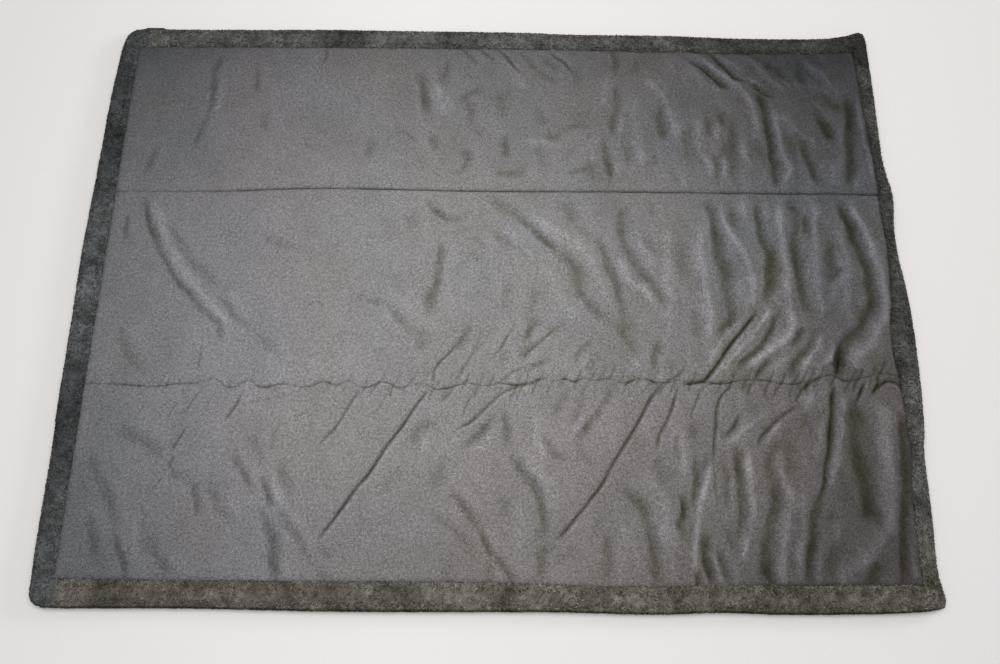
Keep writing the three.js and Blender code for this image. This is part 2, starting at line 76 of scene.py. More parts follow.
LOWER_LINE = [
    (-1.0, -0.242), (-0.95, -0.246), (-0.85, -0.250), (-0.77, -0.2525), (-0.74, -0.2475), (-0.685, -0.245),
    (-0.6375, -0.237), (-0.62, -0.2515), (-0.59, -0.250), (-0.5625, -0.236), (-0.548, -0.248),
    (-0.485, -0.245), (-0.43, -0.252), (-0.385, -0.2385), (-0.365, -0.247), (-0.33, -0.235),
    (-0.30, -0.252), (-0.25, -0.2385), (-0.215, -0.2515), (-0.18, -0.243), (-0.15, -0.2435),
    (-0.13, -0.2545), (-0.105, -0.252), (-0.05, -0.240), (-0.02, -0.2455), (0.015, -0.238),
    (0.05, -0.2425), (0.08, -0.239), (0.125, -0.226), (0.15, -0.232), (0.17, -0.2255), (0.19, -0.2335),
    (0.215, -0.226), (0.235, -0.230), (0.275, -0.226), (0.305, -0.2355), (0.345, -0.226), (0.40, -0.235),
    (0.445, -0.2285), (0.465, -0.2365), (0.49, -0.232), (0.545, -0.235), (0.565, -0.230), (0.64, -0.227),
    (0.695, -0.2355), (0.725, -0.2315), (0.75, -0.225), (0.80, -0.214), (0.82, -0.2245), (0.87, -0.218),
    (0.91, -0.2065), (0.95, -0.214), (1.0, -0.222),
]
JOIN_FAR = -0.72
JOIN_NEAR = -0.48

# Painted light and shade on the plush, across the blanket and along it, in display units of 0 to 255:
# lightest left of the middle, darker towards both ends (most to the right) and towards the near and far
# edges (most at the far one).
PAINTED_LIGHT_ACROSS = [(-0.95, 104), (-0.75, 117), (-0.6, 127), (-0.3, 135), (0.0, 134), (0.15, 132), (0.3, 122),
              (0.45, 116), (0.6, 104), (0.75, 90), (0.95, 83)]
PAINTED_LIGHT_ALONG = [(-0.69, -14), (-0.6, -11), (-0.4, -2), (-0.2, 3), (0.0, 0), (0.2, -3), (0.4, -15),
             (0.6, -27), (0.69, -37)]


def curve(table, t):
    """Smooth line through the table's points."""
    xs = np.array([p[0] for p in table])
    ys = np.array([p[1] for p in table])
    slope = np.gradient(ys, xs)
    t = np.clip(np.asarray(t, float), xs[0], xs[-1])
    i = np.clip(np.searchsorted(xs, t) - 1, 0, len(xs) - 2)
    h = xs[i + 1] - xs[i]
    s = (t - xs[i]) / h
    return (
        ys[i] * (1 + 2 * s) * (1 - s) ** 2
        + slope[i] * h * s * (1 - s) ** 2
        + ys[i + 1] * s * s * (3 - 2 * s)
        + slope[i + 1] * h * s * s * (s - 1)
    )


def smooth(a, b, t):
    s = np.clip((t - a) / (b - a), 0, 1)
    return s * s * (3 - 2 * s)


def spline(points, step, closed=False):
    """Points about a step apart on a Catmull-Rom line through the given ones."""
    p = np.array(points, float)
    ends = (p[-1:], p[:2]) if closed else (2 * p[:1] - p[1:2], 2 * p[-1:] - p[-2:-1])
    q = np.vstack([ends[0], p, ends[1]])
    out = []
    for a, b, c, d in zip(q[:-3], q[1:-2], q[2:-1], q[3:]):
        t = np.linspace(0, 1, max(2, int(np.linalg.norm(c - b) / step) + 1), endpoint=False)[:, None]
        out.append(
            0.5 * (2 * b + (c - a) * t + (2 * a - 5 * b + 4 * c - d) * t**2
                   + (3 * b - a - 3 * c + d) * t**3)
        )
    return np.vstack([*out, q[-2:-1]])


def noise(x, y, cell, seed):
    """Smooth random field between -1 and 1 with features about one cell wide."""
    table = np.random.default_rng(seed).uniform(-1, 1, (64, 64))
    fx, fy = x / cell + 17.3, y / cell + 31.7
    ix, iy = np.floor(fx).astype(int), np.floor(fy).astype(int)
    sx, sy = fx - ix, fy - iy
    sx, sy = sx * sx * (3 - 2 * sx), sy * sy * (3 - 2 * sy)
    a, b = table[ix % 64, iy % 64], table[(ix + 1) % 64, iy % 64]
    c, d = table[ix % 64, (iy + 1) % 64], table[(ix + 1) % 64, (iy + 1) % 64]
    return (a * (1 - sx) + b * sx) * (1 - sy) + (c * (1 - sx) + d * sx) * sy


# ---------------------------------------------------------------- creases, valleys and ridges
# (height, half width, points) in millimetres; a negative height is a valley. Sharp ones are
# pinched creases. Each stroke also paints its light into the colour: painted shade along a valley, painted
# highlight along a ridge.
SHARP = [
    (-6.5, 3.6, [(-139, -250), (-170, -290), (-200, -340), (-235, -390), (-262, -435), (-280, -465),
                 (-303, -492), (-330, -535), (-355, -570), (-380, -603)]),
    (-6.0, 3.4, [(392, -240), (360, -290), (330, -345), (300, -390), (270, -440), (240, -490),
                 (200, -540), (170, -575), (145, -602)]),
    (-4.0, 3.0, [(-303, -250), (-330, -300), (-355, -345), (-380, -375), (-392, -402)]),
    (-4.5, 3.2, [(-83, -358), (-70, -345), (-45, -330), (-20, -305), (0, -285), (25, -262), (60, -246),
                 (100, -236), (128, -220)]),
    (-2.6, 2.4, [(-35, -253), (-50, -275), (-60, -300), (-70, -330)]),
    (-3.0, 2.6, [(-92, -258), (-115, -284)]),
    (-1.8, 2.4, [(-235, -245), (-250, -280), (-265, -310), (-282, -325)]),
    (-4.6, 3.4, [(432, -246), (420, -290), (405, -325), (385, -360), (375, -400)]),
    (-3.4, 2.8, [(487, -246), (470, -290), (458, -318)]),
    (-4.2, 3.2, [(560, -238), (535, -265), (520, -300), (516, -340), (510, -380), (505, -420)]),
    (-1.6, 2.4, [(505, -420), (505, -480), (508, -540)]),
    (-4.2, 4.0, [(712, -285), (680, -305), (655, -325), (635, -345), (615, -365), (602, -392)]),
    (-3.0, 3.4, [(575, -310), (555, -340), (535, -365)]),
    (-5.6, 5.0, [(800, -235), (790, -270), (785, -300), (778, -340), (770, -390), (760, -430),
                 (750, -470), (735, -505)]),
    (-4.6, 3.2, [(748, -222), (720, -250), (703, -282)]),
    (-4.8, 3.2, [(872, -222), (855, -260), (838, -288)]),
    (-4.6, 3.2, [(905, -212), (900, -235), (883, -262)]),
    (-3.4, 3.0, [(888, -262), (905, -240), (928, -226), (948, -236), (957, -258)]),
    (-3.6, 3.0, [(-695, -348), (-710, -375), (-724, -408)]),
    (-3.0, 3.0, [(-718, -418), (-726, -444)]),
    (-2.8, 2.3, [(-662, -248), (-685, -280), (-700, -305), (-718, -327)]),
    (-2.0, 2.2, [(-720, -285), (-735, -310), (-746, -332)]),
    (-3.4, 2.8, [(-577, -265), (-590, -300), (-605, -325), (-613, -344)]),
    (-1.8, 2.2, [(-800, -298), (-817, -328)]),
    (-2.0, 2.4, [(-651, -280), (-655, -312)]),
    (-1.8, 2.6, [(-895, -332), (-906, -357)]),
    (-1.6, 2.2, [(-735, -460), (-750, -485), (-762, -510)]),
    (-6.2, 3.8, [(635, -52), (605, -90), (580, -120), (555, -150), (535, -180), (512, -210), (490, -229),
                 (460, -236), (435, -243)]),
    (-3.0, 2.6, [(555, -231), (520, -234), (490, -238)]),
    (-1.4, 2.2, [(-590, -295), (-545, -287.5), (-490, -275), (-450, -265)]),
    (-2.6, 2.6, [(360, -222), (380, -235), (395, -242)]),
    (-2.4, 2.6, [(400, -235), (390, -250), (385, -262)]),
    (-3.6, 2.8, [(770, -215), (740, -235), (720, -257)]),
    (-4.2, 2.8, [(930, -222), (905, -235), (880, -257)]),
    (-3.4, 2.6, [(865, -240), (855, -260)]),
    (-3.6, 3.0, [(448, -203), (430, -220), (400, -235)]),
    (-4.4, 2.8, [(-136, -250), (-135, -210), (-120, -185), (-100, -165), (-82, -140)]),
    (-3.4, 2.7, [(-90, -246), (-75, -215), (-60, -190), (-45, -165), (-30, -145)]),
    (-3.2, 2.4, [(-140, -258), (-100, -250), (-60, -235), (-33, -222)]),
    (-3.4, 2.4, [(-22, -253), (10, -240), (30, -225), (50, -211), (90, -196)]),
    (-3.0, 2.4, [(305, -246), (320, -235), (338, -222)]),
    (-3.8, 3.2, [(-5, -182), (20, -155), (35, -125), (52, -96)]),
    (-3.4, 3.2, [(70, -182), (90, -157), (115, -135), (140, -110), (156, -99)]),
    (-1.4, 2.0, [(430, -37), (480, -36), (530, -24)]),
    (-2.0, 2.2, [(-458, -52), (-452, -60), (-438, -46), (-422, -35), (-405, -46), (-395, -78)]),
    (-1.6, 2.2, [(-45, 0), (-20, -15), (0, -27), (25, -42)]),
    (-1.4, 2.0, [(20, 155), (40, 125), (75, 95), (83, 75)]),
    (-1.6, 2.0, [(65, 100), (75, 88), (83, 78)]),
    (-2.0, 2.2, [(-682, -140), (-685, -180), (-691, -220)]),
    (-1.8, 2.2, [(-487, 418), (-475, 390), (-466, 382)]),
    (-3.0, 3.0, [(-445, 690), (-445, 660), (-456, 638)]),
    (-3.4, 3.4, [(-95, 695), (-65, 665), (-43, 642)]),
    (-3.4, 3.2, [(-50, 695), (-20, 670), (2, 648)]),
    (-3.8, 3.4, [(0, 695), (30, 665), (50, 635), (77, 607)]),
    (-3.6, 3.6, [(130, 695), (160, 665), (190, 640), (212, 600)]),
    (-4.2, 3.6, [(500, 668), (540, 635), (570, 605), (590, 583), (612, 568)]),
    (-4.2, 3.6, [(560, 690), (600, 640), (630, 605), (660, 588)]),
    (-3.0, 2.8, [(678, 585), (700, 555), (733, 543)]),
]
SOFT = [
    # near panel
    (-2.6, 7, [(170, -225), (170, -250), (155, -285), (145, -310), (130, -328)]),
    (-2.6, 7, [(210, -270), (195, -310), (175, -338)]),
    (-3.0, 7, [(287, -225), (270, -260), (250, -300), (220, -335), (200, -375)]),
    (-2.6, 9, [(115, -360), (140, -400), (170, -430)]),
    (2.0, 12, [(100, -300), (100, -360), (130, -440)]),
    (2.2, 10, [(225, -290), (205, -330), (175, -370)]),
    (-3.0, 7, [(580, -305), (555, -340), (530, -375)]),
    (3.4, 7, [(645, -300), (610, -325), (580, -345), (550, -375), (530, -400)]),
    (3.4, 8, [(665, -325), (645, -355), (620, -385)]),
    (4.6, 9, [(822, -262), (803, -330), (790, -390), (778, -440), (763, -485)]),
    (3.4, 9, [(745, -250), (730, -280), (715, -310)]),
    (3.0, 10, [(770, -300), (755, -360), (735, -420)]),
    (-4.4, 9, [(750, -475), (735, -505), (718, -540), (710, -580), (702, -640), (690, -700)]),
    (3.4, 11, [(700, -490), (690, -560), (680, -640), (672, -700)]),
    (3.4, 9, [(725, -610), (720, -650), (712, -700)]),
    (2.2, 10, [(665, -470), (672, -510)]),
    (-2.0, 12, [(668, -360), (672, -420), (668, -470)]),
    (2.2, 9, [(645, -400), (640, -430)]),
    (-2.2, 12, [(720, -300), (720, -340)]),
    (-4.6, 18, [(842, -275), (832, -330), (830, -400), (838, -470), (840, -520), (828, -570)]),
    (4.6, 18, [(905, -270), (905, -360), (900, -450), (890, -530), (868, -585), (830, -635), (785, -670),
               (760, -700)]),
    (-2.4, 14, [(770, -600), (750, -640), (740, -690)]),
    (-3.0, 12, [(850, -635), (830, -670), (820, -700)]),
    (-2.0, 12, [(755, -530), (745, -560)]),
    (1.8, 10, [(770, -565), (765, -590)]),
    (2.4, 10, [(765, -655), (770, -700)]),
    (-4.4, 10, [(943, -300), (938, -400), (925, -500), (910, -600), (900, -700)]),
    (3.0, 8, [(926, -600), (930, -700)]),
    (-3.0, 9, [(655, -365), (635, -400), (624, -440), (632, -475)]),
    (-4.6, 12, [(628, -460), (637, -500), (632, -535), (615, -580), (605, -620), (600, -660), (590, -700)]),
    (-2.6, 7, [(600, -655), (620, -700)]),
    (4.0, 11, [(665, -500), (655, -560), (645, -620), (635, -700)]),
    (2.8, 10, [(660, -390), (655, -440), (665, -480)]),
    (-3.4, 9, [(560, -375), (560, -420), (562, -480), (560, -540), (548, -600)]),
    (-2.0, 8, [(540, -430), (530, -470), (530, -530)]),
    (-1.8, 9, [(525, -570), (530, -610)]),
    (2.4, 10, [(530, -640), (535, -690)]),
    (-2.4, 12, [(465, -330), (460, -370)]),
    (1.8, 8, [(420, -330), (415, -390)]),
    (-1.8, 7, [(425, -350), (420, -420)]),
    (-1.8, 7, [(490, -410), (475, -450)]),
    (4.2, 11, [(587, -390), (583, -470), (582, -530), (565, -600), (548, -660)]),
    (2.6, 7, [(545, -450), (542, -500), (540, -550)]),
    (-3.4, 7, [(465, -400), (458, -470), (452, -530)]),
    (-4.6, 6, [(420, -490), (427, -530), (415, -560), (420, -595)]),
    (4.4, 8, [(498, -420), (478, -490), (463, -560), (452, -630), (445, -690)]),
    (3.0, 9, [(437, -330), (438, -400), (432, -460)]),
    (-4.8, 8, [(475, -570), (473, -630), (476, -660), (485, -700)]),
    (-4.4, 7, [(450, -665), (452, -700)]),
    (-3.6, 7, [(502, -610), (510, -660), (525, -700)]),
    (3.0, 6, [(492, -620), (497, -660), (505, -700)]),
    (-3.4, 11, [(290, -475), (315, -505), (338, -535), (350, -570)]),
    (-5.0, 9, [(343, -550), (353, -590), (358, -640), (367, -700)]),
    (2.4, 22, [(300, -550), (315, -620), (330, -690)]),
    (2.6, 16, [(340, -420), (365, -470), (390, -520), (395, -590), (400, -690)]),
    (-2.4, 18, [(360, -410), (380, -440), (395, -480)]),
    (-1.8, 10, [(410, -500), (430, -520), (425, -570), (430, -620)]),
    (2.0, 10, [(330, -380), (355, -350), (375, -320)]),
    (-1.6, 10, [(330, -380), (340, -350)]),
    (-4.4, 11, [(262, -570), (255, -630), (255, -700)]),
    (-3.2, 8, [(18, -290), (30, -320), (35, -360), (38, -400)]),
    (-3.4, 9, [(45, -405), (70, -445), (95, -480), (110, -520), (115, -565), (110, -600)]),
    (-3.0, 11, [(112, -600), (110, -640), (105, -700)]),
    (-2.0, 9, [(112, -635), (135, -612), (152, -595)]),
    (1.5, 14, [(70, -360), (100, -430), (145, -490), (155, -550)]),
    (1.6, 15, [(60, -510), (70, -570), (70, -640)]),
    (-1.5, 14, [(30, -510), (32, -560)]),
    (-1.9, 8, [(220, -320), (200, -360), (195, -385)]),
    (-2.0, 9, [(190, -375), (215, -415), (240, -440)]),
    (-1.6, 9, [(245, -545), (225, -600)]),
    (-1.3, 12, [(130, -660), (165, -625), (200, -600)]),
    (-1.8, 16, [(-100, -650), (-90, -700)]),
    (-2.4, 9, [(-2, -645), (0, -700)]),
    (-1.8, 15, [(-100, -410), (-120, -450), (-140, -500)]),
    (-1.3, 10, [(-200, -430), (-235, -480), (-270, -500)]),
    (1.6, 9, [(0, -370), (-20, -395)]),
    (-3.2, 9, [(-100, -490), (-70, -515), (-45, -550), (-20, -585)]),
    (-4.6, 7, [(-30, -575), (-12, -605), (5, -640)]),
    (-3.6, 8, [(5, -630), (30, -655), (45, -680), (52, -700)]),
    (-1.8, 9, [(-140, -540), (-90, -575), (-50, -615), (-30, -660)]),
    (-2.4, 9, [(-185, -390), (-165, -350), (-140, -335), (-118, -345)]),
    (1.8, 12, [(-140, -370), (-160, -410)]),
    (-3.2, 8, [(-68, -400), (-55, -380), (-30, -360), (-15, -340), (8, -310)]),
    (1.5, 9, [(-70, -365), (-95, -390), (-130, -415)]),
    (-2.4, 14, [(-860, -350), (-800, -380), (-765, -405), (-735, -425)]),
    (-2.2, 10, [(-730, -440), (-705, -460), (-680, -465)]),
    (-3.2, 7, [(-690, -460), (-668, -485), (-655, -520), (-648, -565)]),
    (-1.3, 9, [(-635, -450), (-625, -500), (-600, -545), (-560, -585)]),
    (1.0, 10, [(-600, -500), (-570, -540)]),
    (-1.3, 9, [(-870, -420), (-850, -450), (-835, -485)]),
    (-1.6, 8, [(-555, -365), (-535, -395), (-515, -435)]),
    (-1.6, 5, [(-498, -345), (-500, -375), (-505, -405)]),
    (-2.0, 7, [(-515, -530), (-500, -560), (-490, -590)]),
    (-1.3, 9, [(-370, -610), (-350, -650)]),
    (-1.2, 12, [(-780, -540), (-765, -600), (-750, -650)]),
    (-3.6, 8, [(-585, -400), (-567, -440), (-545, -475), (-530, -500)]),
    (-4.0, 7, [(-517, -460), (-500, -500), (-490, -540)]),
    (-4.6, 11, [(-500, -560), (-478, -600), (-472, -650), (-462, -700)]),
    (-2.4, 11, [(-490, -420), (-465, -470), (-440, -520)]),
    (1.5, 8, [(-495, -460), (-470, -510), (-435, -555), (-405, -590)]),
    (-2.0, 9, [(-470, -530), (-455, -565), (-425, -600)]),
    (-2.8, 7, [(-435, -585), (-415, -615), (-395, -640)]),
    (-1.6, 8, [(-400, -630), (-375, -665), (-345, -700)]),
    (-4.0, 7, [(-830, -590), (-805, -640), (-788, -700)]),
    (-3.0, 9, [(-895, -540), (-880, -600), (-862, -650)]),
    (-2.4, 11, [(-915, -410), (-890, -460), (-860, -510), (-838, -550), (-825, -600)]),
    (1.2, 9, [(-785, -540), (-780, -600), (-765, -660)]),
    (-2.8, 10, [(-755, -590), (-730, -640), (-695, -690)]),
    # middle panel
    (-4.0, 7, [(-872, 245), (-860, 200), (-850, 160), (-830, 120), (-800, 70), (-780, 35), (-760, 3),
               (-730, -22), (-700, -55), (-670, -80), (-650, -100), (-648, -145)]),
    (2.6, 12, [(-840, 235), (-825, 180), (-800, 120), (-760, 60), (-720, 10), (-680, -40), (-630, -100)]),
    (-1.8, 10, [(-800, 170), (-770, 120), (-740, 70), (-700, 30), (-660, -15)]),
    (-2.8, 8, [(-660, -15), (-635, -50), (-610, -85), (-570, -110)]),
    (-1.6, 9, [(-570, -110), (-530, -145), (-490, -190)]),
    (-2.6, 6, [(-912, 190), (-907, 150), (-900, 115)]),
    (-3.4, 10, [(-130, 130), (-135, 60), (-140, 10), (-153, -30), (-155, -85)]),
    (-1.8, 13, [(-150, -10), (-160, -40)]),
    (-2.0, 12, [(-165, 250), (-155, 215), (-130, 195)]),
    (-3.6, 7, [(-152, 212), (-135, 197), (-118, 187), (-100, 187)]),
    (-1.6, 6, [(-110, 187), (-85, 190), (-50, 205)]),
    (-1.8, 6, [(-55, 145), (-38, 128), (-20, 103)]),
    (-1.5, 12, [(-210, 190), (-200, 160)]),
    (-1.8, 13, [(-235, -55), (-215, -90)]),
    (-2.2, 12, [(-175, -105), (-165, -130), (-180, -155)]),
    (-2.4, 7, [(-100, -165), (-80, -140), (-65, -115), (-58, -90)]),
    (-1.6, 7, [(-45, -150), (-30, -130)]),
    (-1.8, 8, [(-10, -120), (0, -100)]),
    (-3.0, 8, [(65, -185), (80, -160), (100, -140)]),
    (-2.2, 8, [(65, -140), (85, -115), (95, -85), (118, -75)]),
    (-1.8, 10, [(140, -105), (155, -95)]),
    (-2.0, 9, [(25, -190), (30, -170)]),
    (-2.4, 7, [(80, -205), (105, -190), (130, -175)]),
    (-2.4, 13, [(-10, 260), (15, 225), (50, 200), (85, 172)]),
    (-4.8, 8, [(55, 195), (80, 172), (110, 145), (140, 115), (165, 95)]),
    (-3.4, 15, [(150, 100), (180, 75), (200, 40), (208, 0), (212, -30)]),
    (-2.2, 9, [(205, 20), (215, -20), (240, -55), (270, -82)]),
    (-2.2, 12, [(215, -30), (250, -65), (285, -90), (300, -105)]),
    (-3.6, 10, [(292, -80), (305, -110), (320, -140), (335, -170)]),
    (2.2, 12, [(100, 190), (160, 155), (200, 120), (240, 90)]),
    (3.0, 13, [(235, 100), (250, 60), (262, 10), (270, -20), (280, -50)]),
    (1.8, 12, [(10, 160), (50, 145), (70, 110), (100, 80)]),
    (1.4, 15, [(110, 70), (150, 10), (170, -40), (220, -90)]),
    (-1.8, 10, [(-5, 160), (20, 130), (45, 105)]),
    (-1.4, 12, [(-60, 90), (-20, 70)]),
    (-3.4, 13, [(175, 235), (185, 210), (200, 175)]),
    (-1.6, 9, [(200, 180), (220, 150), (250, 125)]),
    (-3.8, 8, [(250, 135), (268, 100), (280, 60), (295, 10), (303, -30), (302, -50)]),
    (-3.4, 10, [(325, 235), (315, 180), (318, 130), (335, 80), (355, 45), (385, 15), (405, -20),
                (422, -50)]),
    (-1.6, 11, [(375, 150), (385, 90)]),
    (-1.8, 12, [(475, -40), (480, -90), (485, -130)]),
    (-2.4, 11, [(310, -30), (315, -80), (315, -130)]),
    (-1.6, 9, [(330, -80), (340, -120), (345, -140)]),
    (1.6, 12, [(360, 20), (385, -30)]),
    (2.2, 14, [(345, -185), (320, -210)]),
    (1.8, 10, [(430, -60), (420, -110), (410, -150)]),
    (-2.4, 14, [(570, 90), (575, 40), (570, 0)]),
    (-2.2, 12, [(585, 220), (590, 190), (600, 165)]),
    (2.2, 10, [(675, 230), (675, 200)]),
    (1.8, 9, [(615, 240), (615, 210)]),
    (-2.6, 12, [(665, 130), (685, 70), (680, 20), (665, -15)]),
    (-2.2, 9, [(775, 200), (770, 165), (755, 150)]),
    (-2.2, 11, [(825, 140), (830, 100)]),
    (-1.8, 8, [(845, 60), (820, 30)]),
    (2.2, 10, [(810, 225), (800, 200)]),
    (2.0, 10, [(855, 50), (830, 10), (810, -30), (790, -60)]),
    (-2.0, 12, [(880, -40), (870, -75)]),
    (-2.0, 10, [(765, -90), (760, -120), (745, -150)]),
    (3.0, 11, [(735, -200), (740, -180)]),
    (3.6, 16, [(860, -140), (860, -180), (865, -205)]),
    (2.4, 9, [(800, -130), (810, -155), (785, -190)]),
    (-3.2, 9, [(830, -135), (815, -170), (810, -205), (790, -220)]),
    (3.0, 8, [(655, -65), (640, -80)]),
    (2.8, 12, [(355, 170), (365, 110), (395, 60)]),
    (3.0, 10, [(305, 100), (325, 30), (370, -5), (395, -50)]),
    (-2.4, 8, [(388, 240), (395, 205)]),
    (-1.8, 12, [(460, 140), (460, 60), (465, 10)]),
    (2.6, 13, [(425, 170), (430, 80), (430, 0), (420, -80)]),
    (-3.6, 12, [(520, 245), (540, 200), (547, 150), (550, 90), (558, 30), (570, -30), (570, -70),
                (545, -105), (530, -130)]),
    (3.6, 11, [(555, 235), (572, 180), (600, 130), (620, 80), (632, 30), (622, -20), (600, -55)]),
    (3.2, 12, [(510, 180), (505, 100), (512, 30), (517, -40), (520, -90), (510, -150)]),
    (-3.8, 9, [(655, 235), (655, 170), (667, 100), (670, 40), (665, 0), (645, -40)]),
    (3.0, 8, [(625, 235), (625, 190)]),
    (5.6, 12, [(710, 235), (712, 150), (713, 80), (710, 0), (713, -50), (718, -85), (700, -120),
               (660, -150), (620, -180), (600, -210)]),
    (3.8, 7, [(675, -45), (645, -78), (615, -115), (585, -150), (560, -180), (530, -215)]),
    (-4.0, 6, [(690, -50), (665, -85), (640, -130), (600, -170), (570, -205)]),
    (3.6, 8, [(600, -75), (560, -110), (530, -150), (505, -190)]),
    (-4.0, 9, [(728, 250), (745, 190), (739, 130), (738, 60), (742, 0), (750, -70)]),
    (3.2, 11, [(800, 240), (790, 170), (785, 100), (785, 30), (790, -30), (785, -80)]),
    (-2.6, 8, [(770, 200), (768, 150)]),
    (-2.8, 11, [(825, 130), (818, 60), (805, 10)]),
    (2.6, 12, [(853, 180), (855, 100), (860, 20), (845, -50)]),
    (-5.0, 12, [(860, 250), (875, 190), (885, 140), (900, 80), (910, 30), (908, -20), (893, -60),
                (865, -100), (835, -130), (820, -170), (810, -210)]),
    (5.2, 12, [(887, 250), (910, 180), (925, 120), (940, 50), (945, -20), (930, -80), (900, -130),
               (860, -180)]),
    (-3.8, 7, [(745, -95), (720, -120), (700, -145)]),
    (-4.2, 8, [(755, -135), (720, -170), (700, -200), (685, -220)]),
    (3.8, 9, [(785, -100), (770, -140), (740, -180), (720, -215)]),
    (3.4, 9, [(815, -140), (790, -180), (760, -205)]),
    (3.0, 8, [(690, -170), (670, -200), (650, -220)]),
    (-3.4, 6, [(660, -170), (630, -200), (615, -220)]),
    (-2.2, 7, [(-82, -140), (-60, -110), (-55, -85)]),
    (-2.6, 7, [(75, -130), (90, -105), (118, -78)]),
    (-2.0, 8, [(80, -75), (95, -30), (100, 10)]),
    (-1.8, 9, [(30, -65), (30, -20), (28, 20)]),
    (-2.6, 6, [(80, -212), (110, -190), (135, -178)]),
    (-2.8, 7, [(188, -200), (200, -165), (220, -145), (245, -128)]),
    (-2.2, 8, [(225, -210), (237, -175)]),
    (-3.0, 8, [(378, -210), (380, -170), (397, -135)]),
    (-2.4, 11, [(-885, -100), (-865, -160), (-840, -200), (-810, -215)]),
    (-1.4, 9, [(-340, -20), (-250, -50), (-210, -90), (-170, -135)]),
    (-1.3, 11, [(-600, 150), (-540, 120), (-470, 85)]),
    # far panel
    (-2.6, 8, [(-715, 670), (-735, 610), (-735, 550), (-745, 480), (-757, 430), (-770, 375)]),
    (1.8, 10, [(-700, 600), (-715, 530), (-725, 470)]),
    (-2.8, 8, [(-865, 390), (-873, 340), (-887, 295)]),
    (-2.4, 7, [(-630, 640), (-625, 580), (-622, 545)]),
    (-1.4, 8, [(-590, 490), (-592, 430)]),
    (-1.8, 10, [(-310, 410), (-325, 360)]),
    (-3.0, 10, [(-200, 620), (-188, 560), (-175, 490)]),
    (1.4, 12, [(-190, 660), (-165, 600), (-140, 530), (-120, 470)]),
    (-2.6, 8, [(-40, 565), (-75, 545), (-98, 530)]),
    (-2.8, 10, [(-85, 540), (-70, 510), (-63, 480), (-62, 445)]),
    (-3.0, 8, [(-95, 375), (-70, 365), (-73, 340), (-88, 315)]),
    (-2.6, 9, [(-165, 430), (-155, 400), (-152, 375)]),
    (-3.2, 9, [(18, 425), (25, 390), (32, 352)]),
    (1.8, 7, [(10, 665), (40, 635), (70, 600)]),
    (-2.4, 6, [(60, 680), (90, 645), (110, 610)]),
    (2.0, 6, [(-60, 690), (-35, 665), (-20, 640)]),
    (-3.6, 8, [(305, 700), (312, 655), (313, 610)]),
    (-3.4, 9, [(312, 585), (318, 540), (308, 500), (302, 460), (302, 420)]),
    (-3.8, 8, [(272, 415), (280, 380), (288, 340), (297, 290)]),
    (2.8, 13, [(290, 620), (285, 560), (275, 500)]),
    (1.8, 14, [(262, 450), (250, 400), (248, 330)]),
    (-1.8, 8, [(250, 455), (220, 457), (190, 450), (175, 435)]),
    (-2.4, 9, [(170, 432), (150, 426), (130, 430)]),
    (-1.6, 18, [(20, 570), (20, 510), (30, 450)]),
    (-1.8, 10, [(105, 400), (115, 360), (120, 330)]),
    (-1.8, 10, [(195, 400), (185, 370), (165, 360)]),
    (-2.2, 8, [(205, 640), (213, 610), (215, 570)]),
    (-2.0, 8, [(105, 620), (135, 595), (165, 575)]),
    (-1.8, 8, [(120, 665), (140, 640), (165, 620)]),
    (-1.7, 9, [(105, 505), (120, 475), (128, 450)]),
    (-1.5, 10, [(225, 500), (210, 480)]),
    (-1.4, 8, [(-245, 450), (-225, 425), (-210, 400)]),
    (-1.5, 11, [(-50, 440), (-30, 420)]),
    (-1.8, 11, [(-185, 550), (-175, 500), (-165, 465)]),
    (-2.6, 8, [(-128, 665), (-130, 620), (-138, 585), (-125, 555)]),
    (1.6, 12, [(-150, 600), (-130, 540), (-100, 500)]),
    (-1.4, 10, [(-190, 370), (-180, 330)]),
    (1.6, 11, [(25, 630), (60, 590), (90, 560)]),
    (-1.6, 14, [(240, 350), (250, 300)]),
    (1.5, 12, [(100, 315), (100, 300)]),
    (1.5, 10, [(60, 400), (110, 405), (160, 410)]),
    (-2.4, 8, [(0, 315), (50, 315), (85, 322)]),
    (-2.4, 7, [(190, 322), (240, 332)]),
    (-2.6, 13, [(435, 540), (425, 480), (432, 410)]),
    (3.0, 13, [(400, 610), (430, 550), (455, 480), (472, 420)]),
    (2.2, 12, [(370, 560), (365, 470), (370, 400), (375, 330)]),
    (-2.4, 6, [(400, 375), (410, 350), (390, 345)]),
    (4.4, 11, [(525, 675), (570, 635), (610, 598), (640, 565), (660, 530), (672, 480), (675, 420)]),
    (2.6, 9, [(510, 690), (540, 660), (580, 625), (615, 590)]),
    (2.8, 8, [(560, 685), (590, 670), (630, 635), (655, 610)]),
    (-2.6, 7, [(530, 660), (565, 615), (590, 585), (610, 565)]),
    (2.4, 9, [(505, 660), (520, 625), (550, 585), (600, 560)]),
    (2.4, 8, [(650, 600), (690, 585), (715, 565)]),
    (-2.2, 8, [(660, 580), (690, 570), (720, 545)]),
    (-2.6, 8, [(700, 655), (735, 620), (760, 590)]),
    (2.2, 7, [(725, 635), (750, 600), (775, 575)]),
    (-2.2, 11, [(790, 660), (800, 620), (790, 590)]),
    (2.2, 12, [(810, 650), (840, 640), (870, 600)]),
    (2.2, 12, [(830, 585), (865, 555), (890, 525)]),
    (2.4, 12, [(710, 530), (725, 490), (760, 475)]),
    (-2.0, 14, [(820, 500), (845, 455), (860, 410)]),
    (2.6, 13, [(885, 460), (885, 400), (873, 330), (865, 290)]),
    (-1.8, 10, [(750, 440), (760, 400), (765, 370)]),
    (1.6, 12, [(775, 400), (775, 350), (780, 310)]),
    (-4.8, 9, [(675, 565), (692, 520), (700, 460), (705, 400), (710, 340), (705, 275)]),
    (4.4, 9, [(715, 510), (728, 430), (735, 370), (750, 330), (725, 290), (722, 270)]),
    (3.2, 9, [(650, 680), (690, 635), (725, 595), (775, 555)]),
    (3.0, 10, [(800, 665), (855, 610), (895, 545)]),
    (-2.6, 13, [(845, 560), (875, 520), (900, 495)]),
    (2.8, 10, [(815, 540), (850, 495), (875, 460)]),
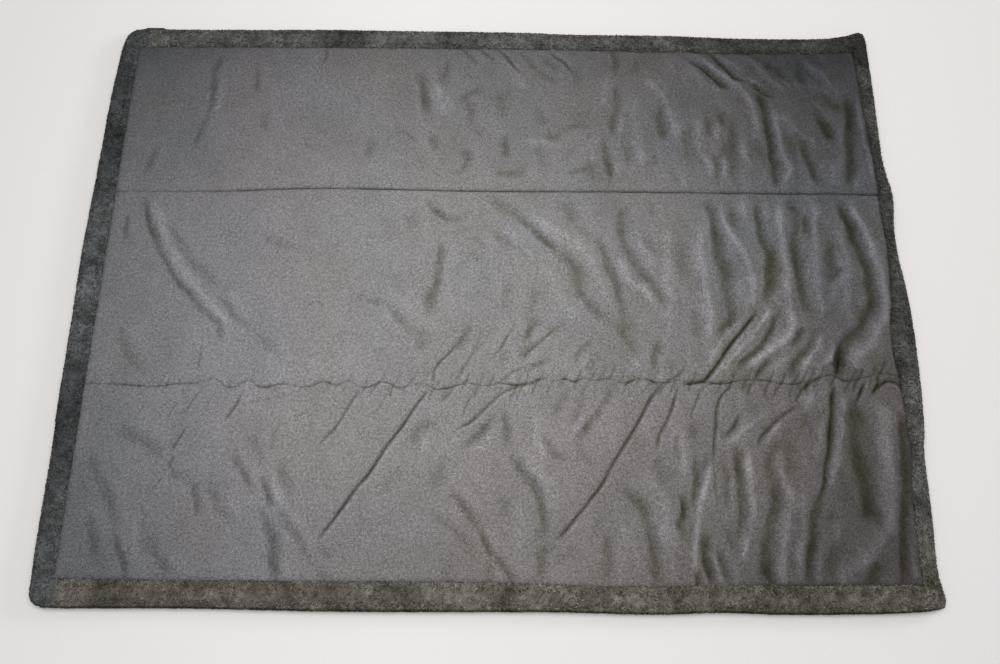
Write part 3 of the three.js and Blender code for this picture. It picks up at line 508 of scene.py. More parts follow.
    (-3.0, 11, [(845, 470), (860, 410)]),
    (2.6, 10, [(760, 470), (790, 430), (820, 400)]),
    (-3.0, 11, [(610, 490), (610, 420), (602, 360), (610, 310)]),
    (3.2, 8, [(620, 430), (640, 375), (660, 330)]),
    (3.0, 10, [(522, 460), (520, 390), (545, 340), (540, 300)]),
    (2.8, 7, [(590, 365), (580, 310)]),
    (-2.6, 7, [(563, 380), (563, 300)]),
    (-2.8, 10, [(575, 500), (590, 460)]),
    (2.4, 9, [(555, 460), (565, 420)]),
    (-3.8, 9, [(785, 430), (790, 390), (798, 350), (812, 280)]),
    (2.8, 15, [(855, 360), (850, 320), (840, 280)]),
    (-2.0, 10, [(415, 500), (425, 440), (430, 400)]),
    (1.8, 12, [(330, 500), (325, 460), (330, 410)]),
    (-1.8, 8, [(335, 430), (335, 380), (340, 330)]),
    (2.0, 10, [(310, 350), (310, 320)]),
    (1.8, 10, [(365, 390), (375, 350), (380, 325)]),
    (1.8, 12, [(395, 600), (410, 570)]),
    (-1.6, 12, [(500, 470), (490, 400), (490, 340)]),
    (1.8, 9, [(520, 480), (525, 440)]),
    (-1.8, 8, [(545, 470), (545, 430)]),
    (2.2, 9, [(575, 470), (570, 430), (560, 410)]),
    (-1.6, 10, [(600, 430), (585, 380), (575, 350)]),
    (2.2, 8, [(595, 365), (585, 330), (570, 305)]),
    (-1.8, 10, [(670, 400), (680, 370)]),
    (2.0, 8, [(685, 330), (680, 305)]),
    (1.4, 12, [(460, 660), (470, 620)]),
    (-1.6, 9, [(370, 660), (360, 610)]),
    (-4.2, 11, [(915, 560), (910, 470), (905, 380), (890, 285)]),
    (3.4, 8, [(940, 560), (945, 470), (950, 380), (948, 300)]),
    (3.0, 8, [(915, 315), (910, 280)]),
]


def follow(line, p):
    """How far each point is from a line, how far along it lies, on which side, and the line's length."""
    a, d = line[:-1], np.diff(line, axis=0)
    length = np.linalg.norm(d, axis=1)
    start = np.concatenate([[0], np.cumsum(length)])
    best = np.full(len(p), 1e9)
    along = np.zeros(len(p))
    side = np.zeros(len(p))
    for k in range(len(a)):
        r = p - a[k]
        f = np.clip(r @ d[k] / length[k] ** 2, 0, 1)
        off = r - f[:, None] * d[k]
        dist = np.hypot(off[:, 0], off[:, 1])
        closer = dist < best
        best = np.where(closer, dist, best)
        along = np.where(closer, start[k] + f * length[k], along)
        side = np.where(closer, np.sign(d[k, 0] * r[:, 1] - d[k, 1] * r[:, 0]), side)
    return best, along, side, start[-1]


def add_strokes(x, y, strokes, sharp, height, tone_and_painted_light):
    """Presses each stroke into the height of one panel's grid and paints its shade or highlight into the
    colour field.
    """
    sway = 0.0016 if sharp else 0.0042
    fray = 0.0004 if sharp else 0.0022
    strength = 0.88 + 0.34 * smooth(0.3, 0.6, x)
    uneven = strength * (1 + (0.25 if sharp else 0.34) * noise(x, y, 0.045, 30))
    x = x + sway * noise(x, y, 0.040, 31) + fray * noise(x, y, 0.010, 33)
    y = y + sway * noise(x, y, 0.040, 32) + fray * noise(x, y, 0.010, 34)
    for lift, half, points in strokes:
        half = half * MM * (1.0 if sharp or lift > 0 else 1.18)
        reach = half * 3.2
        line = spline(np.array(points) / 1000, 0.006)
        low, high = line.min(0) - reach, line.max(0) + reach
        near = (x > low[0]) & (x < high[0]) & (y > low[1]) & (y < high[1])
        if not near.any():
            continue
        best, along, side, total = follow(line, np.stack([x[near], y[near]], 1))
        left = side * (np.sign(line[-1, 1] - line[0, 1]) or 1)
        run_in = min(0.045, total * 0.4)
        fade = smooth(0, run_in, along + 0.006) * smooth(0, run_in, total - along + 0.006)
        fade = fade * uneven[near]
        steep = 1 + (0.0 if sharp else 0.25) * left * np.sign(lift)
        n = best / (half * steep)
        shape = np.exp(-(n**1.25)) if sharp else np.exp(-n * n)
        weight = (0.084 if sharp else 0.060) if lift < 0 else 0.042
        # each stroke paints its light into the colour too: painted shade along a valley, painted highlight
        # along a ridge
        height[near] += lift * MM * shape * fade
        tone_and_painted_light[near] += weight * lift * shape * fade
        if lift < 0:
            # the cloth pushed up beside a valley, on its right, with a painted highlight on it
            bank = np.exp(-(((-left * best - 2.1 * half) / (1.35 * half)) ** 2)) * fade * -lift
            height[near] += (0.26 if sharp else 0.14) * MM * bank
            tone_and_painted_light[near] += (0.018 if sharp else 0.010) * bank


REST_TOP = TOP - 0.0007
FACE_FLOOR = FELT_TOP + 0.0003
VALLEY_FLOOR = FELT_TOP + 0.0009
RIDGE_KNEE = TOP + 0.0030
RIDGE_ROOM = 0.0030


def pleats():
    """Little gathers that the tight lower seam draws on both sides of itself."""
    draw = np.random.default_rng(11)
    made = []
    x = -0.93
    while x < 0.94:
        y = float(curve(LOWER_LINE, x))
        pull = 0.40 + 0.60 * float(smooth(-0.5, -0.15, x))
        for way in (-1, 1):
            run = way * draw.uniform(0.016, 0.045) * pull
            lean = draw.uniform(0.3, 0.9)
            points = [(x, y), (x + 0.5 * run * lean, y + 0.5 * run), (x + 0.8 * run * lean, y + run)]
            in_mm = [(1000 * px, 1000 * py) for px, py in points]
            made.append((-draw.uniform(1.2, 3.0) * pull, 2.7, in_mm))
        x += draw.uniform(0.016, 0.038)
    return made


def panel_fields(x, y):
    """Height above the ground of the plush at every point of a grid, and its colour field: random mottling
    with painted light and shade from folds, seams and puckers.
    """
    height = np.full(x.shape, REST_TOP)
    tone_and_painted_light = np.zeros(x.shape)
    add_strokes(x, y, SOFT, False, height, tone_and_painted_light)
    add_strokes(x, y, SHARP + pleats(), True, height, tone_and_painted_light)
    busy = smooth(0.15, 0.75, x) + 0.35
    height += busy * 0.0010 * noise(x * 1.4, y * 0.6, 0.045, 3)
    height += busy * 0.0005 * noise(x, y, 0.018, 4)
    height += busy * 0.0009 * noise(x * 1.6 + y * 0.5, y * 0.45, 0.026, 12)
    tone_and_painted_light += 0.040 * busy * noise(x * 1.5, y * 0.55, 0.040, 5)
    tone_and_painted_light += 0.030 * busy * noise(x * 1.7 + y * 0.4, y * 0.5, 0.020, 13)
    tone_and_painted_light += 0.030 * noise(x, y, 0.075, 6) + 0.018 * noise(x, y, 0.022, 7)
    for line, seed, wide in ((UPPER_LINE, 8, 0.0030), (LOWER_LINE, 9, 0.0028)):
        off = np.abs(y - curve(line, x))
        depth = 0.75 + 0.25 * noise(x, x * 0, 0.05, seed)
        if line is UPPER_LINE:
            depth = depth * (0.35 + 0.65 * smooth(-0.85, -0.62, x))
        else:
            broken = np.clip(0.55 + 0.62 * noise(x, x * 0, 0.030, 14), 0.06, 1.1)
            depth = depth * broken * (0.66 + 0.34 * smooth(-0.5, -0.3, x))
            depth = depth * (1 - 0.35 * smooth(0.5, 0.65, x))
        groove = np.exp(-((off / wide) ** 1.3)) * depth
        # painted shade darkens each seam's groove along with its depth
        height -= 0.0056 * groove
        tone_and_painted_light -= 0.26 * groove
        # between stitches the filling swells, so the cloth beside a seam puckers, with a painted highlight
        # on each swell and painted shade in each dip
        pucker = noise(x, np.sign(y - curve(line, x)) * 0.3 + x * 0, 0.017, seed + 20)
        swell = np.exp(-((off - 0.011) / 0.010) ** 2)
        amount = (0.35 if line is UPPER_LINE else 1.0) * (0.45 + 0.55 * smooth(-0.4, 0.1, x))
        height += 0.0016 * pucker * swell * amount
        tone_and_painted_light += 0.05 * pucker * swell * amount
    return height, tone_and_painted_light


def colour_of(shade):
    """Linear colour of a display shade of 0 to 255, three channels."""
    s = np.clip(shade, 2, 250) / 255
    return np.where(s < 0.04045, s / 12.92, ((s + 0.055) / 1.055) ** 2.4)


def new_mesh(name, points, faces, colours):
    mesh = bpy.data.meshes.new(name)
    mesh.from_pydata(points.tolist(), [], faces)
    attribute = mesh.color_attributes.new("pile", "FLOAT_COLOR", "POINT")
    rgba = np.ones((len(points), 4), np.float32)
    rgba[:, :3] = colours
    attribute.data.foreach_set("color", rgba.ravel())
    mesh.polygons.foreach_set("use_smooth", np.ones(len(mesh.polygons), bool))
    mesh.update()
    obj = bpy.data.objects.new(name, mesh)
    bpy.context.scene.collection.objects.link(obj)
    return obj


BASE_STEP = 4


def coarse(count, fine):
    """Every fourth index of a grid's side, and each one in its fine stretch, which has to bend."""
    return sorted({*range(0, count, BASE_STEP), *range(*fine), count - 1})


def slab(name, x, y, top, base, colours, fine_rows=(0, 0)):
    """Closed sheet: a fine upper grid, a coarse lower one, and a wall round the edge."""
    rows, cols = x.shape
    upper = np.arange(rows * cols).reshape(rows, cols)
    r, c = coarse(rows, fine_rows), coarse(cols, (0, 0))
    pick = np.ix_(r, c)
    lower = upper.size + np.arange(len(r) * len(c)).reshape(len(r), len(c))
    base = np.broadcast_to(base, x.shape)
    points = np.concatenate([
        np.stack([x, y, top], -1).reshape(-1, 3),
        np.stack([x[pick], y[pick], base[pick]], -1).reshape(-1, 3),
    ])
    quads = np.stack([upper[:-1, :-1], upper[:-1, 1:], upper[1:, 1:], upper[1:, :-1]], -1)
    under = np.stack([lower[:-1, :-1], lower[1:, :-1], lower[1:, 1:], lower[:-1, 1:]], -1)
    faces = quads.reshape(-1, 4).tolist() + under.reshape(-1, 4).tolist()
    walls = (
        (upper[0], lower[0], c, False),
        (upper[:, -1], lower[:, -1], r, False),
        (upper[-1], lower[-1], c, True),
        (upper[:, 0], lower[:, 0], r, True),
    )
    for high, low, kept, turned in walls:
        for k in range(len(kept) - 1):
            wall = [int(low[k]), int(low[k + 1])] + [int(i) for i in high[kept[k]:kept[k + 1] + 1][::-1]]
            faces.append(wall[::-1] if turned else wall)
    tint = np.concatenate([colours.reshape(-1, 3), colours[pick].reshape(-1, 3)])
    return new_mesh(name, points, faces, tint)


def panel_grid(low_line, high_line, step):
    """Plan positions of a panel between two lines, from the left fur line to the right one."""
    wide = INNER_RIGHT[0][1] - INNER_LEFT
    cols = int(wide / step / BASE_STEP) * BASE_STEP + 1
    deep = high_line[0][1] - low_line[0][1]
    rows = int(deep / step / BASE_STEP) * BASE_STEP + 1
    s, t = np.meshgrid(np.linspace(0, 1, cols), np.linspace(0, 1, rows))
    x = INNER_LEFT + s * wide
    for _ in range(3):
        y = curve(low_line, x) + t * (curve(high_line, x) - curve(low_line, x))
        x = INNER_LEFT + s * (curve(INNER_RIGHT, y) - INNER_LEFT)
    return x, y


PANELS = {
    "bottom": (INNER_NEAR, LOWER_LINE),
    "middle": (LOWER_LINE, UPPER_LINE),
    "top": (UPPER_LINE, INNER_FAR),
}
FACE_STEP = 0.0032
BACKING_STEP = 0.0050
BACKING_TOP = 0.0041
TURN = 0.026
SEAM_STRAY = 0.036


def turning_rows(panel, rows, depth):
    """Rows of a panel's grid that lie where a flap turns over at its seam."""
    count = int((TURN + SEAM_STRAY) / depth * rows)
    return {"bottom": (rows - count, rows), "middle": (0, count // 2), "top": (0, count)}[panel]


def edge_drop(x, y, reach):
    """0 in the open, rising to 1 where the plush runs down to the fur line."""
    gaps = (x - INNER_LEFT, curve(INNER_RIGHT, y) - x, curve(INNER_FAR, x) - y, y - curve(INNER_NEAR, x))
    return np.maximum.reduce([np.exp(-((np.maximum(g, 0) / reach) ** 1.5)) for g in gaps])


def plush_colour(x, y, tone_and_painted_light):
    """Grey plush, bluer on the left and at the far right, browner near the lower right; painted light and
    shade from the tables and from the colour field set its brightness.
    """
    shade = (curve(PAINTED_LIGHT_ACROSS, x) + curve(PAINTED_LIGHT_ALONG, y)) * (1 + tone_and_painted_light)
    cool = 4 * smooth(-0.2, -0.9, x) + 3 * smooth(0.3, 0.9, x) * smooth(-0.2, 0.3, y)
    cool = cool - 6 * smooth(-0.5, 0.1, x) * smooth(0.1, -0.4, y)
    warm_side = smooth(-0.5, 0.1, x)
    # where the field is lighter, mostly painted highlight, the colour turns bluer; where it is darker,
    # mostly painted shade, it turns browner
    cool = cool + np.where(tone_and_painted_light > 0, 16, 22) * np.clip(tone_and_painted_light, -0.4, 0.2) * (0.25 + 0.75 * warm_side)
    warm = 1.5 * noise(x, y, 0.12, 40)
    green = 1.7 * smooth(-0.9, -0.5, x) - 0.5 - 1.6 * smooth(0.4, 0.8, x) * smooth(-0.2, 0.2, y)
    green = green + 3.8 * smooth(-0.5, 0.0, x) * smooth(0.1, -0.4, y)
    # painted shade also turns greener, so more olive
    green = green - 4 * np.clip(-tone_and_painted_light, 0, 0.35) * warm_side
    return colour_of(np.stack([shade + warm, shade - green, shade - 0.4 + cool - warm], -1))


def make_face(panel):
    x, y = panel_grid(*PANELS[panel], FACE_STEP)
    height, tone_and_painted_light = panel_fields(x, y)
    height -= 0.0030 * edge_drop(x, y, 0.005)
    # painted shade where the plush runs down to the fur line, strongest along the middle of the right side
    painted_fur_line_shade = 0.10 + 0.32 * smooth(0.6, 0.93, x) * smooth(0.55, 0.3, np.abs(y))
    tone_and_painted_light -= painted_fur_line_shade * edge_drop(x, y, 0.005)
    height = np.maximum(height, VALLEY_FLOOR)
    # the tallest ridges stay below a flap's felt when the flap lies folded on them
    over = np.maximum(height - RIDGE_KNEE, 0)
    height = height - over + RIDGE_ROOM * (1 - np.exp(-over / RIDGE_ROOM))
    colours = plush_colour(x, y, tone_and_painted_light)
    rows = turning_rows(panel, len(y), y[-1, 0] - y[0, 0])
    return slab(f"plush_face_{panel}", x, y, height, FACE_FLOOR, colours, rows)


def make_backing(panel):
    x, y = panel_grid(*PANELS[panel], BACKING_STEP)
    lower = 0.0004 + 0.0009 * (1 + noise(x, y, 0.011, 50)) * 0.5 + 0.0006 * (1 + noise(x, y, 0.03, 51))
    patch = 0.10 * noise(x, y, 0.03, 52) + 0.07 * noise(x, y, 0.011, 53)
    shade = 74 * (1 + patch)
    rgb = colour_of(np.stack([shade + 3, shade, shade - 8], -1))
    rows = turning_rows(panel, len(y), y[-1, 0] - y[0, 0])
    obj = slab(f"fur_backing_{panel}", x, -y, -lower, -BACKING_TOP, rgb, rows)
    obj.data.transform(Matrix.Rotation(math.pi, 4, "X"))
    return obj


# ---------------------------------------------------------------- fur border
OUTER = spline(OUTLINE, 0.0036, closed=True)
SECTION_POINTS = 44
FUR_TOP = TOP + 0.0006
FUR_WIDTH = 0.055
TUFT_SPACING = 0.0038
TUFT_LENGTH = 0.0085
TUFT_PROUD = 0.0030


def fur_line(outer):
    """The fur's inner edge for each point of its outer edge."""
    x, y = outer[:, 0], outer[:, 1]
    ix = np.clip(x, INNER_LEFT, curve(INNER_RIGHT, np.clip(y, -0.69, 0.69)))
    iy = np.clip(y, curve(INNER_NEAR, ix), curve(INNER_FAR, ix))
    inner = np.stack([ix, iy], 1)
    out = outer - inner
    return inner + 0.0008 * out / np.linalg.norm(out, axis=1)[:, None]


def patchy(x, y, z=0.0):
    """Light and dark patches of fur, -1 to 1."""
    return (
        0.44 * noise(x + z, y - z, 0.034, 60) + 0.44 * noise(x - z, y + z, 0.013, 61)
        + 0.34 * noise(x + z, y + z, 0.006, 68) + 0.22 * noise(x, y, 0.09, 62)
    )


def fur_colour(x, y, z, extra):
    """Olive grey on the near edge, greener and darker on the left, neutral on the right."""
    near, far = smooth(-0.5, -0.70, y), smooth(0.6, 0.7, y)
    left, right = smooth(-0.9, -0.96, x), smooth(0.88, 0.96, x)
    shade = 88 + near * (8 + 20 * np.exp(-((x / 0.45) ** 2))) + far * (8 - 28 * smooth(0.4, 0.65, x))
    shade = shade - 12 * left + 24 * left * np.exp(-(((y - 0.04) / 0.2) ** 2))
    shade = shade + left * (12 * smooth(-0.4, -0.5, y) - 8 * smooth(0.15, 0.35, np.abs(y)))
    shade = shade - 13 * right - 8 * near * left + 16 * right * smooth(-0.12, -0.3, y)
    shade = shade * np.clip(1 + 0.42 * patchy(x, y, z) + extra, 0.12, 2)
    brown = 5 * near * (1 - left) - 3 * left
    return colour_of(np.stack([shade + brown, shade, shade - 3 - brown * 1.3], -1))


def cut_outline(first, last):
    """The part of the outline from one index to another, going clockwise."""
    if last > first:
        return OUTER[first:last + 1]
    return np.vstack([OUTER[first:-1], OUTER[:last + 1]])


def nearest(x=None, y=None, side=None):
    """Index of the outline point where a side crosses a value of x or y."""
    inside = {"left": OUTER[:, 0] < -0.9, "right": OUTER[:, 0] > 0.9,
              "far": OUTER[:, 1] > 0.7, "near": OUTER[:, 1] < -0.7}[side]
    gap = np.abs(OUTER[:, 0] - x) if y is None else np.abs(OUTER[:, 1] - y)
    return int(np.argmin(np.where(inside, gap, 9)))


def flattened(wave, power):
    """A sine or cosine pressed towards a square wave, for the border's section."""
    return np.sign(wave) * np.abs(wave) ** power


SECTION_ANGLE = np.linspace(0, 2 * math.pi, SECTION_POINTS, endpoint=False)
SECTION_ACROSS = 0.5 - 0.5 * flattened(np.cos(SECTION_ANGLE), 0.42)
FUR_BASE = 0.0009
INLET_BLEND = 0.004


def swept(inner, outer):
    """The section carried along a border from fur line to outer edge, lifted clear of the inlet."""
    up = flattened(np.sin(SECTION_ANGLE), 0.62)
    middle, half = (FUR_TOP + FUR_BASE) / 2, (FUR_TOP - FUR_BASE) / 2
    ring = inner[:, None, :] + (outer - inner)[:, None, :] * SECTION_ACROSS[None, :, None]
    x, y = ring[..., 0], ring[..., 1]
    z = middle + half * np.broadcast_to(up, x.shape).copy()
    opening = np.exp(-(np.maximum(np.abs(x - INLET_X) - INLET_HALF, 0) / INLET_BLEND) ** 2)
    opening = opening * (y > 0.7)
    return x, y, np.where(z < INLET_ROOF, z + (INLET_ROOF - z) * opening, z)


def matted(x, y, z, width):
    """A swept border with its surface pushed in and out into clumps, less so at its two ends."""
    lumps = 0.0011 * noise(x + z, y, 0.010, 63) + 0.0012 * noise(x, y + z, 0.026, 64)
    lumps += 0.0005 * noise(x, y + z, 0.0052, 65)
    lumps = lumps * (1 - 0.75 * smooth(0.80, 0.97, SECTION_ACROSS))[None, :]
    push = np.stack([
        width[:, None, 0] * -np.cos(SECTION_ANGLE)[None, :] / FUR_WIDTH,
        width[:, None, 1] * -np.cos(SECTION_ANGLE)[None, :] / FUR_WIDTH,
        np.broadcast_to(np.sin(SECTION_ANGLE), x.shape),
    ], -1)
    fade = np.ones(len(x))
    fade[[0, -1]] = 0.25
    ring = np.stack([x, y, z], -1) + push * lumps[..., None] * fade[:, None, None]
    ring[..., 2] = np.maximum(ring[..., 2], 0.0003)
    return ring


def make_border(name, first, last, ends):
    """Rolled fur edge along part of the outline: a swept section, roughened, with tufts."""
    outer = cut_outline(first, last)
    inner = fur_line(outer)
    outward = (outer - inner) / np.linalg.norm(outer - inner, axis=1)[:, None]
    outer = outer - TUFT_PROUD * outward
    ragged = noise(inner[:, 0], inner[:, 1], 0.014, 66) + 0.6 * noise(inner[:, 0], inner[:, 1], 0.045, 67)
    inner = inner - 0.0016 * (1 + ragged)[:, None] * outward
    for (axis, value), index in zip(ends, (0, -1)):
        outer[index, axis] = value
        inner[index, axis] = value
    ring = matted(*swept(inner, outer), outer - inner)
    index = np.arange(len(outer) * SECTION_POINTS).reshape(len(outer), SECTION_POINTS)
    nxt = np.roll(index, -1, axis=1)
    quads = np.stack([index[:-1], nxt[:-1], nxt[1:], index[1:]], -1).reshape(-1, 4).tolist()
    faces = quads + [index[0, ::-1].tolist(), index[-1].tolist()]
    points = ring.reshape(-1, 3)
    rim = np.broadcast_to(smooth(0.90, 0.99, SECTION_ACROSS)[None, :], index.shape).ravel()
    # painted shade: the lower part of the roll is darker and its outer edge carries a painted shadow line;
    # the whole border is also made 12 per cent darker
    root = -0.12 - 0.20 * (points[:, 2] < 0.006) - 0.50 * rim
    colours = fur_colour(points[:, 0], points[:, 1], points[:, 2], root)
    tuft_points, tuft_faces, tuft_colours = tufts(ring, len(points), outward)
    return new_mesh(
        name,
        np.vstack([points, tuft_points]),
        faces + tuft_faces,
        np.vstack([colours, tuft_colours]),
    )


def tuft_roots(ring):
    """Random places on a border's upper, inner and outer faces: grid row, column, point and normal."""
    count, around, _ = ring.shape
    keep = [k for k in range(around) if not 0.62 <= k / around <= 0.97]
    cell_a, cell_b = ring[:-1], ring[1:]
    rows, cols = np.meshgrid(np.arange(count - 1), np.array(keep), indexing="ij")
    rows, cols = rows.ravel(), cols.ravel()
    nxt = (cols + 1) % around
    p00, p01 = cell_a[rows, cols], cell_a[rows, nxt]
    p10, p11 = cell_b[rows, cols], cell_b[rows, nxt]
    area = np.linalg.norm(np.cross(p10 - p00, p01 - p00), axis=1)
    chance = area / TUFT_SPACING**2
    pick = np.nonzero(rng.random(len(rows)) < chance)[0]
    f, g = rng.random((len(pick), 1)), rng.random((len(pick), 1))
    root = (
        p00[pick] * (1 - f) * (1 - g) + p01[pick] * (1 - f) * g
        + p10[pick] * f * (1 - g) + p11[pick] * f * g
    )
    normal = np.cross(p01[pick] - p00[pick], p10[pick] - p00[pick])
    normal /= np.linalg.norm(normal, axis=1)[:, None] + 1e-12
    centre = ring[rows[pick]].mean(1)
    normal *= np.sign(np.sum(normal * (root - centre), 1))[:, None]
    return rows[pick], cols[pick], root, normal


def tufts(ring, offset, outward):
    """Short lying tufts, each a closed little spike; offset is how many points the border has."""
    row, col, root, normal = tuft_roots(ring)
    lie = math.pi * (noise(root[:, 0], root[:, 1], 0.035, 70) * 1.2 + 0.35 * rng.standard_normal(len(root)))
    flow = np.stack([np.cos(lie), np.sin(lie), np.zeros(len(root))], 1)
    away = np.hstack([outward[row], np.zeros((len(row), 1))])
    place = SECTION_ACROSS[col][:, None]
    out_part = np.sum(flow * away, 1)[:, None]
    flow -= away * np.maximum(out_part, 0) * 0.85 * smooth(0.6, 0.85, place)
    flow -= away * 0.9 * smooth(0.12, 0.02, place)
    flow -= normal * np.sum(flow * normal, 1)[:, None]
    flow /= np.linalg.norm(flow, axis=1)[:, None] + 1e-9
    length = TUFT_LENGTH * rng.uniform(0.55, 1.15, len(root))[:, None]
    length *= 1 - 0.6 * smooth(0.82, 0.98, place)
    lift = rng.uniform(0.12, 0.45, len(root))[:, None]
    tip = root + flow * length * np.sqrt(1 - lift**2) + normal * length * lift
    tip[:, 2] = np.maximum(tip[:, 2], 0.0004)
    sideways = np.cross(normal, flow)
    wide = rng.uniform(0.0007, 0.0018, len(root))[:, None]
    a = root - sideways * wide - normal * 0.0008
    b = root + sideways * wide - normal * 0.0008
    c = root - flow * wide * 1.2 + normal * wide * 0.9
    pts = np.stack([a, b, c, tip], 1).reshape(-1, 3)
    pts[:, 2] = np.maximum(pts[:, 2], 0.0002)
    base = offset + 4 * np.arange(len(root))[:, None]
    corner = np.array([[0, 2, 1], [0, 1, 3], [1, 2, 3], [2, 0, 3]])
    faces = (base[:, None, :] + corner[None]).reshape(-1, 3).tolist()
    # tufts at the outer edge carry the same painted shadow line
    own = rng.normal(0, 0.24, len(root)) - 0.45 * smooth(0.90, 1.0, SECTION_ACROSS[col])
    extra = np.stack([own - 0.30, own - 0.30, own - 0.1, own + 0.22], 1).ravel()
    colours = fur_colour(pts[:, 0], pts[:, 1], pts[:, 2] * 0, extra)
    return pts, faces, colours


def make_thread(name, line, height, radius, stitch):
    """A sewn line: one round thread that dips between its stitches."""
    line = np.array(line)
    step = np.concatenate([[0], np.cumsum(np.linalg.norm(np.diff(line, axis=0), axis=1))])
    run = np.linspace(0, step[-1], int(step[-1] / 0.0022))
    px, py = np.interp(run, step, line[:, 0]), np.interp(run, step, line[:, 1])
    pz = height + 0.0004 * np.sin(run * 2 * math.pi / stitch)
    centre = np.stack([px, py, pz], 1)
    tangent = np.gradient(centre, axis=0)
    tangent /= np.linalg.norm(tangent, axis=1)[:, None]
    side = np.cross(tangent, [0, 0, 1])
    side /= np.linalg.norm(side, axis=1)[:, None]
    up = np.cross(side, tangent)
    sides = 6
    turn = np.arange(sides) * 2 * math.pi / sides
    ring = (
        centre[:, None] + radius * np.cos(turn)[None, :, None] * side[:, None]
        + radius * np.sin(turn)[None, :, None] * up[:, None]
    )
    index = np.arange(len(centre) * sides).reshape(-1, sides)
    nxt = np.roll(index, -1, axis=1)
    faces = np.stack([index[:-1], index[1:], nxt[1:], nxt[:-1]], -1).reshape(-1, 4).tolist()
    faces += [index[0].tolist(), index[-1, ::-1].tolist()]
    shade = np.full((index.size, 3), 58.0) * (1 + 0.12 * np.sin(np.arange(index.size) * 1.7))[:, None]
    return new_mesh(name, ring.reshape(-1, 3), faces, colour_of(shade))


# ---------------------------------------------------------------- materials
def shader(name):
    material = bpy.data.materials.new(name)
    material.use_nodes = True
    return material, material.node_tree.nodes, material.node_tree.links


def grain(nodes, links, coords, scale, detail=2.0, stretch=None):
    texture = nodes.new("ShaderNodeTexNoise")
    texture.inputs["Scale"].default_value = scale
    texture.inputs["Detail"].default_value = detail
    if stretch is None:
        links.new(coords, texture.inputs["Vector"])
        return texture.outputs["Fac"]
    mapping = nodes.new("ShaderNodeMapping")
    mapping.inputs["Scale"].default_value = stretch
    links.new(coords, mapping.inputs["Vector"])
    links.new(mapping.outputs["Vector"], texture.inputs["Vector"])
    return texture.outputs["Fac"]


def spread_to(nodes, links, value, low, high):
    """Remaps a noise value, 0.3 to 0.7, to the given range."""
    remap = nodes.new("ShaderNodeMapRange")
    for key, number in (("From Min", 0.3), ("From Max", 0.7), ("To Min", low), ("To Max", high)):
        remap.inputs[key].default_value = number
    links.new(value, remap.inputs["Value"])
    return remap.outputs["Result"]


def pile_material(name, fine, contrast, sheen, bump, roughness, coarse=170.0):
    """Plush or fur: the colour of each point, painted light and shade included, broken up by its pile."""
    material, nodes, links = shader(name)
    body = nodes["Principled BSDF"]
    coords = nodes.new("ShaderNodeTexCoord").outputs["Object"]
    colour = nodes.new("ShaderNodeVertexColor")
    colour.layer_name = "pile"
    small = grain(nodes, links, coords, fine, 3.0)
    large = grain(nodes, links, coords, coarse, 3.0)
    speck = nodes.new("ShaderNodeMath")
    speck.operation = "MULTIPLY"
    links.new(spread_to(nodes, links, small, 1 - contrast, 1 + contrast), speck.inputs[0])
    links.new(spread_to(nodes, links, large, 1 - contrast * 0.5, 1 + contrast * 0.5), speck.inputs[1])
    scaled = nodes.new("ShaderNodeVectorMath")
    scaled.operation = "SCALE"
    links.new(colour.outputs["Color"], scaled.inputs[0])
    links.new(speck.outputs[0], scaled.inputs["Scale"])
    links.new(scaled.outputs[0], body.inputs["Base Color"])
    raised = nodes.new("ShaderNodeBump")
    raised.inputs["Strength"].default_value = bump
    raised.inputs["Distance"].default_value = 0.0008
    links.new(small, raised.inputs["Height"])
    links.new(raised.outputs[0], body.inputs["Normal"])
    links.new(spread_to(nodes, links, large, roughness - 0.05, min(1, roughness + 0.05)),
              body.inputs["Roughness"])
    body.inputs["Specular IOR Level"].default_value = 0.15
    body.inputs["Sheen Weight"].default_value = sheen
    body.inputs["Sheen Roughness"].default_value = 0.55
    body.inputs["Sheen Tint"].default_value = (0.80, 0.79, 0.80, 1)
    return material


def made_material(name, dark, light, scale, roughness, metallic=0.0, bump=0.25, stretch=None, sheen=0.0):
    """A manufactured surface whose colour, roughness and relief all vary with its own grain."""
    material, nodes, links = shader(name)
    body = nodes["Principled BSDF"]
    coords = nodes.new("ShaderNodeTexCoord").outputs["Object"]
    value = grain(nodes, links, coords, scale, 4.0, stretch)
    ramp = nodes.new("ShaderNodeValToRGB")
    ramp.color_ramp.elements[0].position = 0.35
    ramp.color_ramp.elements[0].color = (*dark, 1)
    ramp.color_ramp.elements[1].position = 0.65
    ramp.color_ramp.elements[1].color = (*light, 1)
    links.new(value, ramp.inputs["Fac"])
    links.new(ramp.outputs["Color"], body.inputs["Base Color"])
    links.new(spread_to(nodes, links, value, roughness - 0.06, min(1, roughness + 0.06)),
              body.inputs["Roughness"])
    raised = nodes.new("ShaderNodeBump")
    raised.inputs["Strength"].default_value = bump
    raised.inputs["Distance"].default_value = 0.0004
    links.new(value, raised.inputs["Height"])
    links.new(raised.outputs[0], body.inputs["Normal"])
    body.inputs["Metallic"].default_value = metallic
    body.inputs["Sheen Weight"].default_value = sheen
    return material


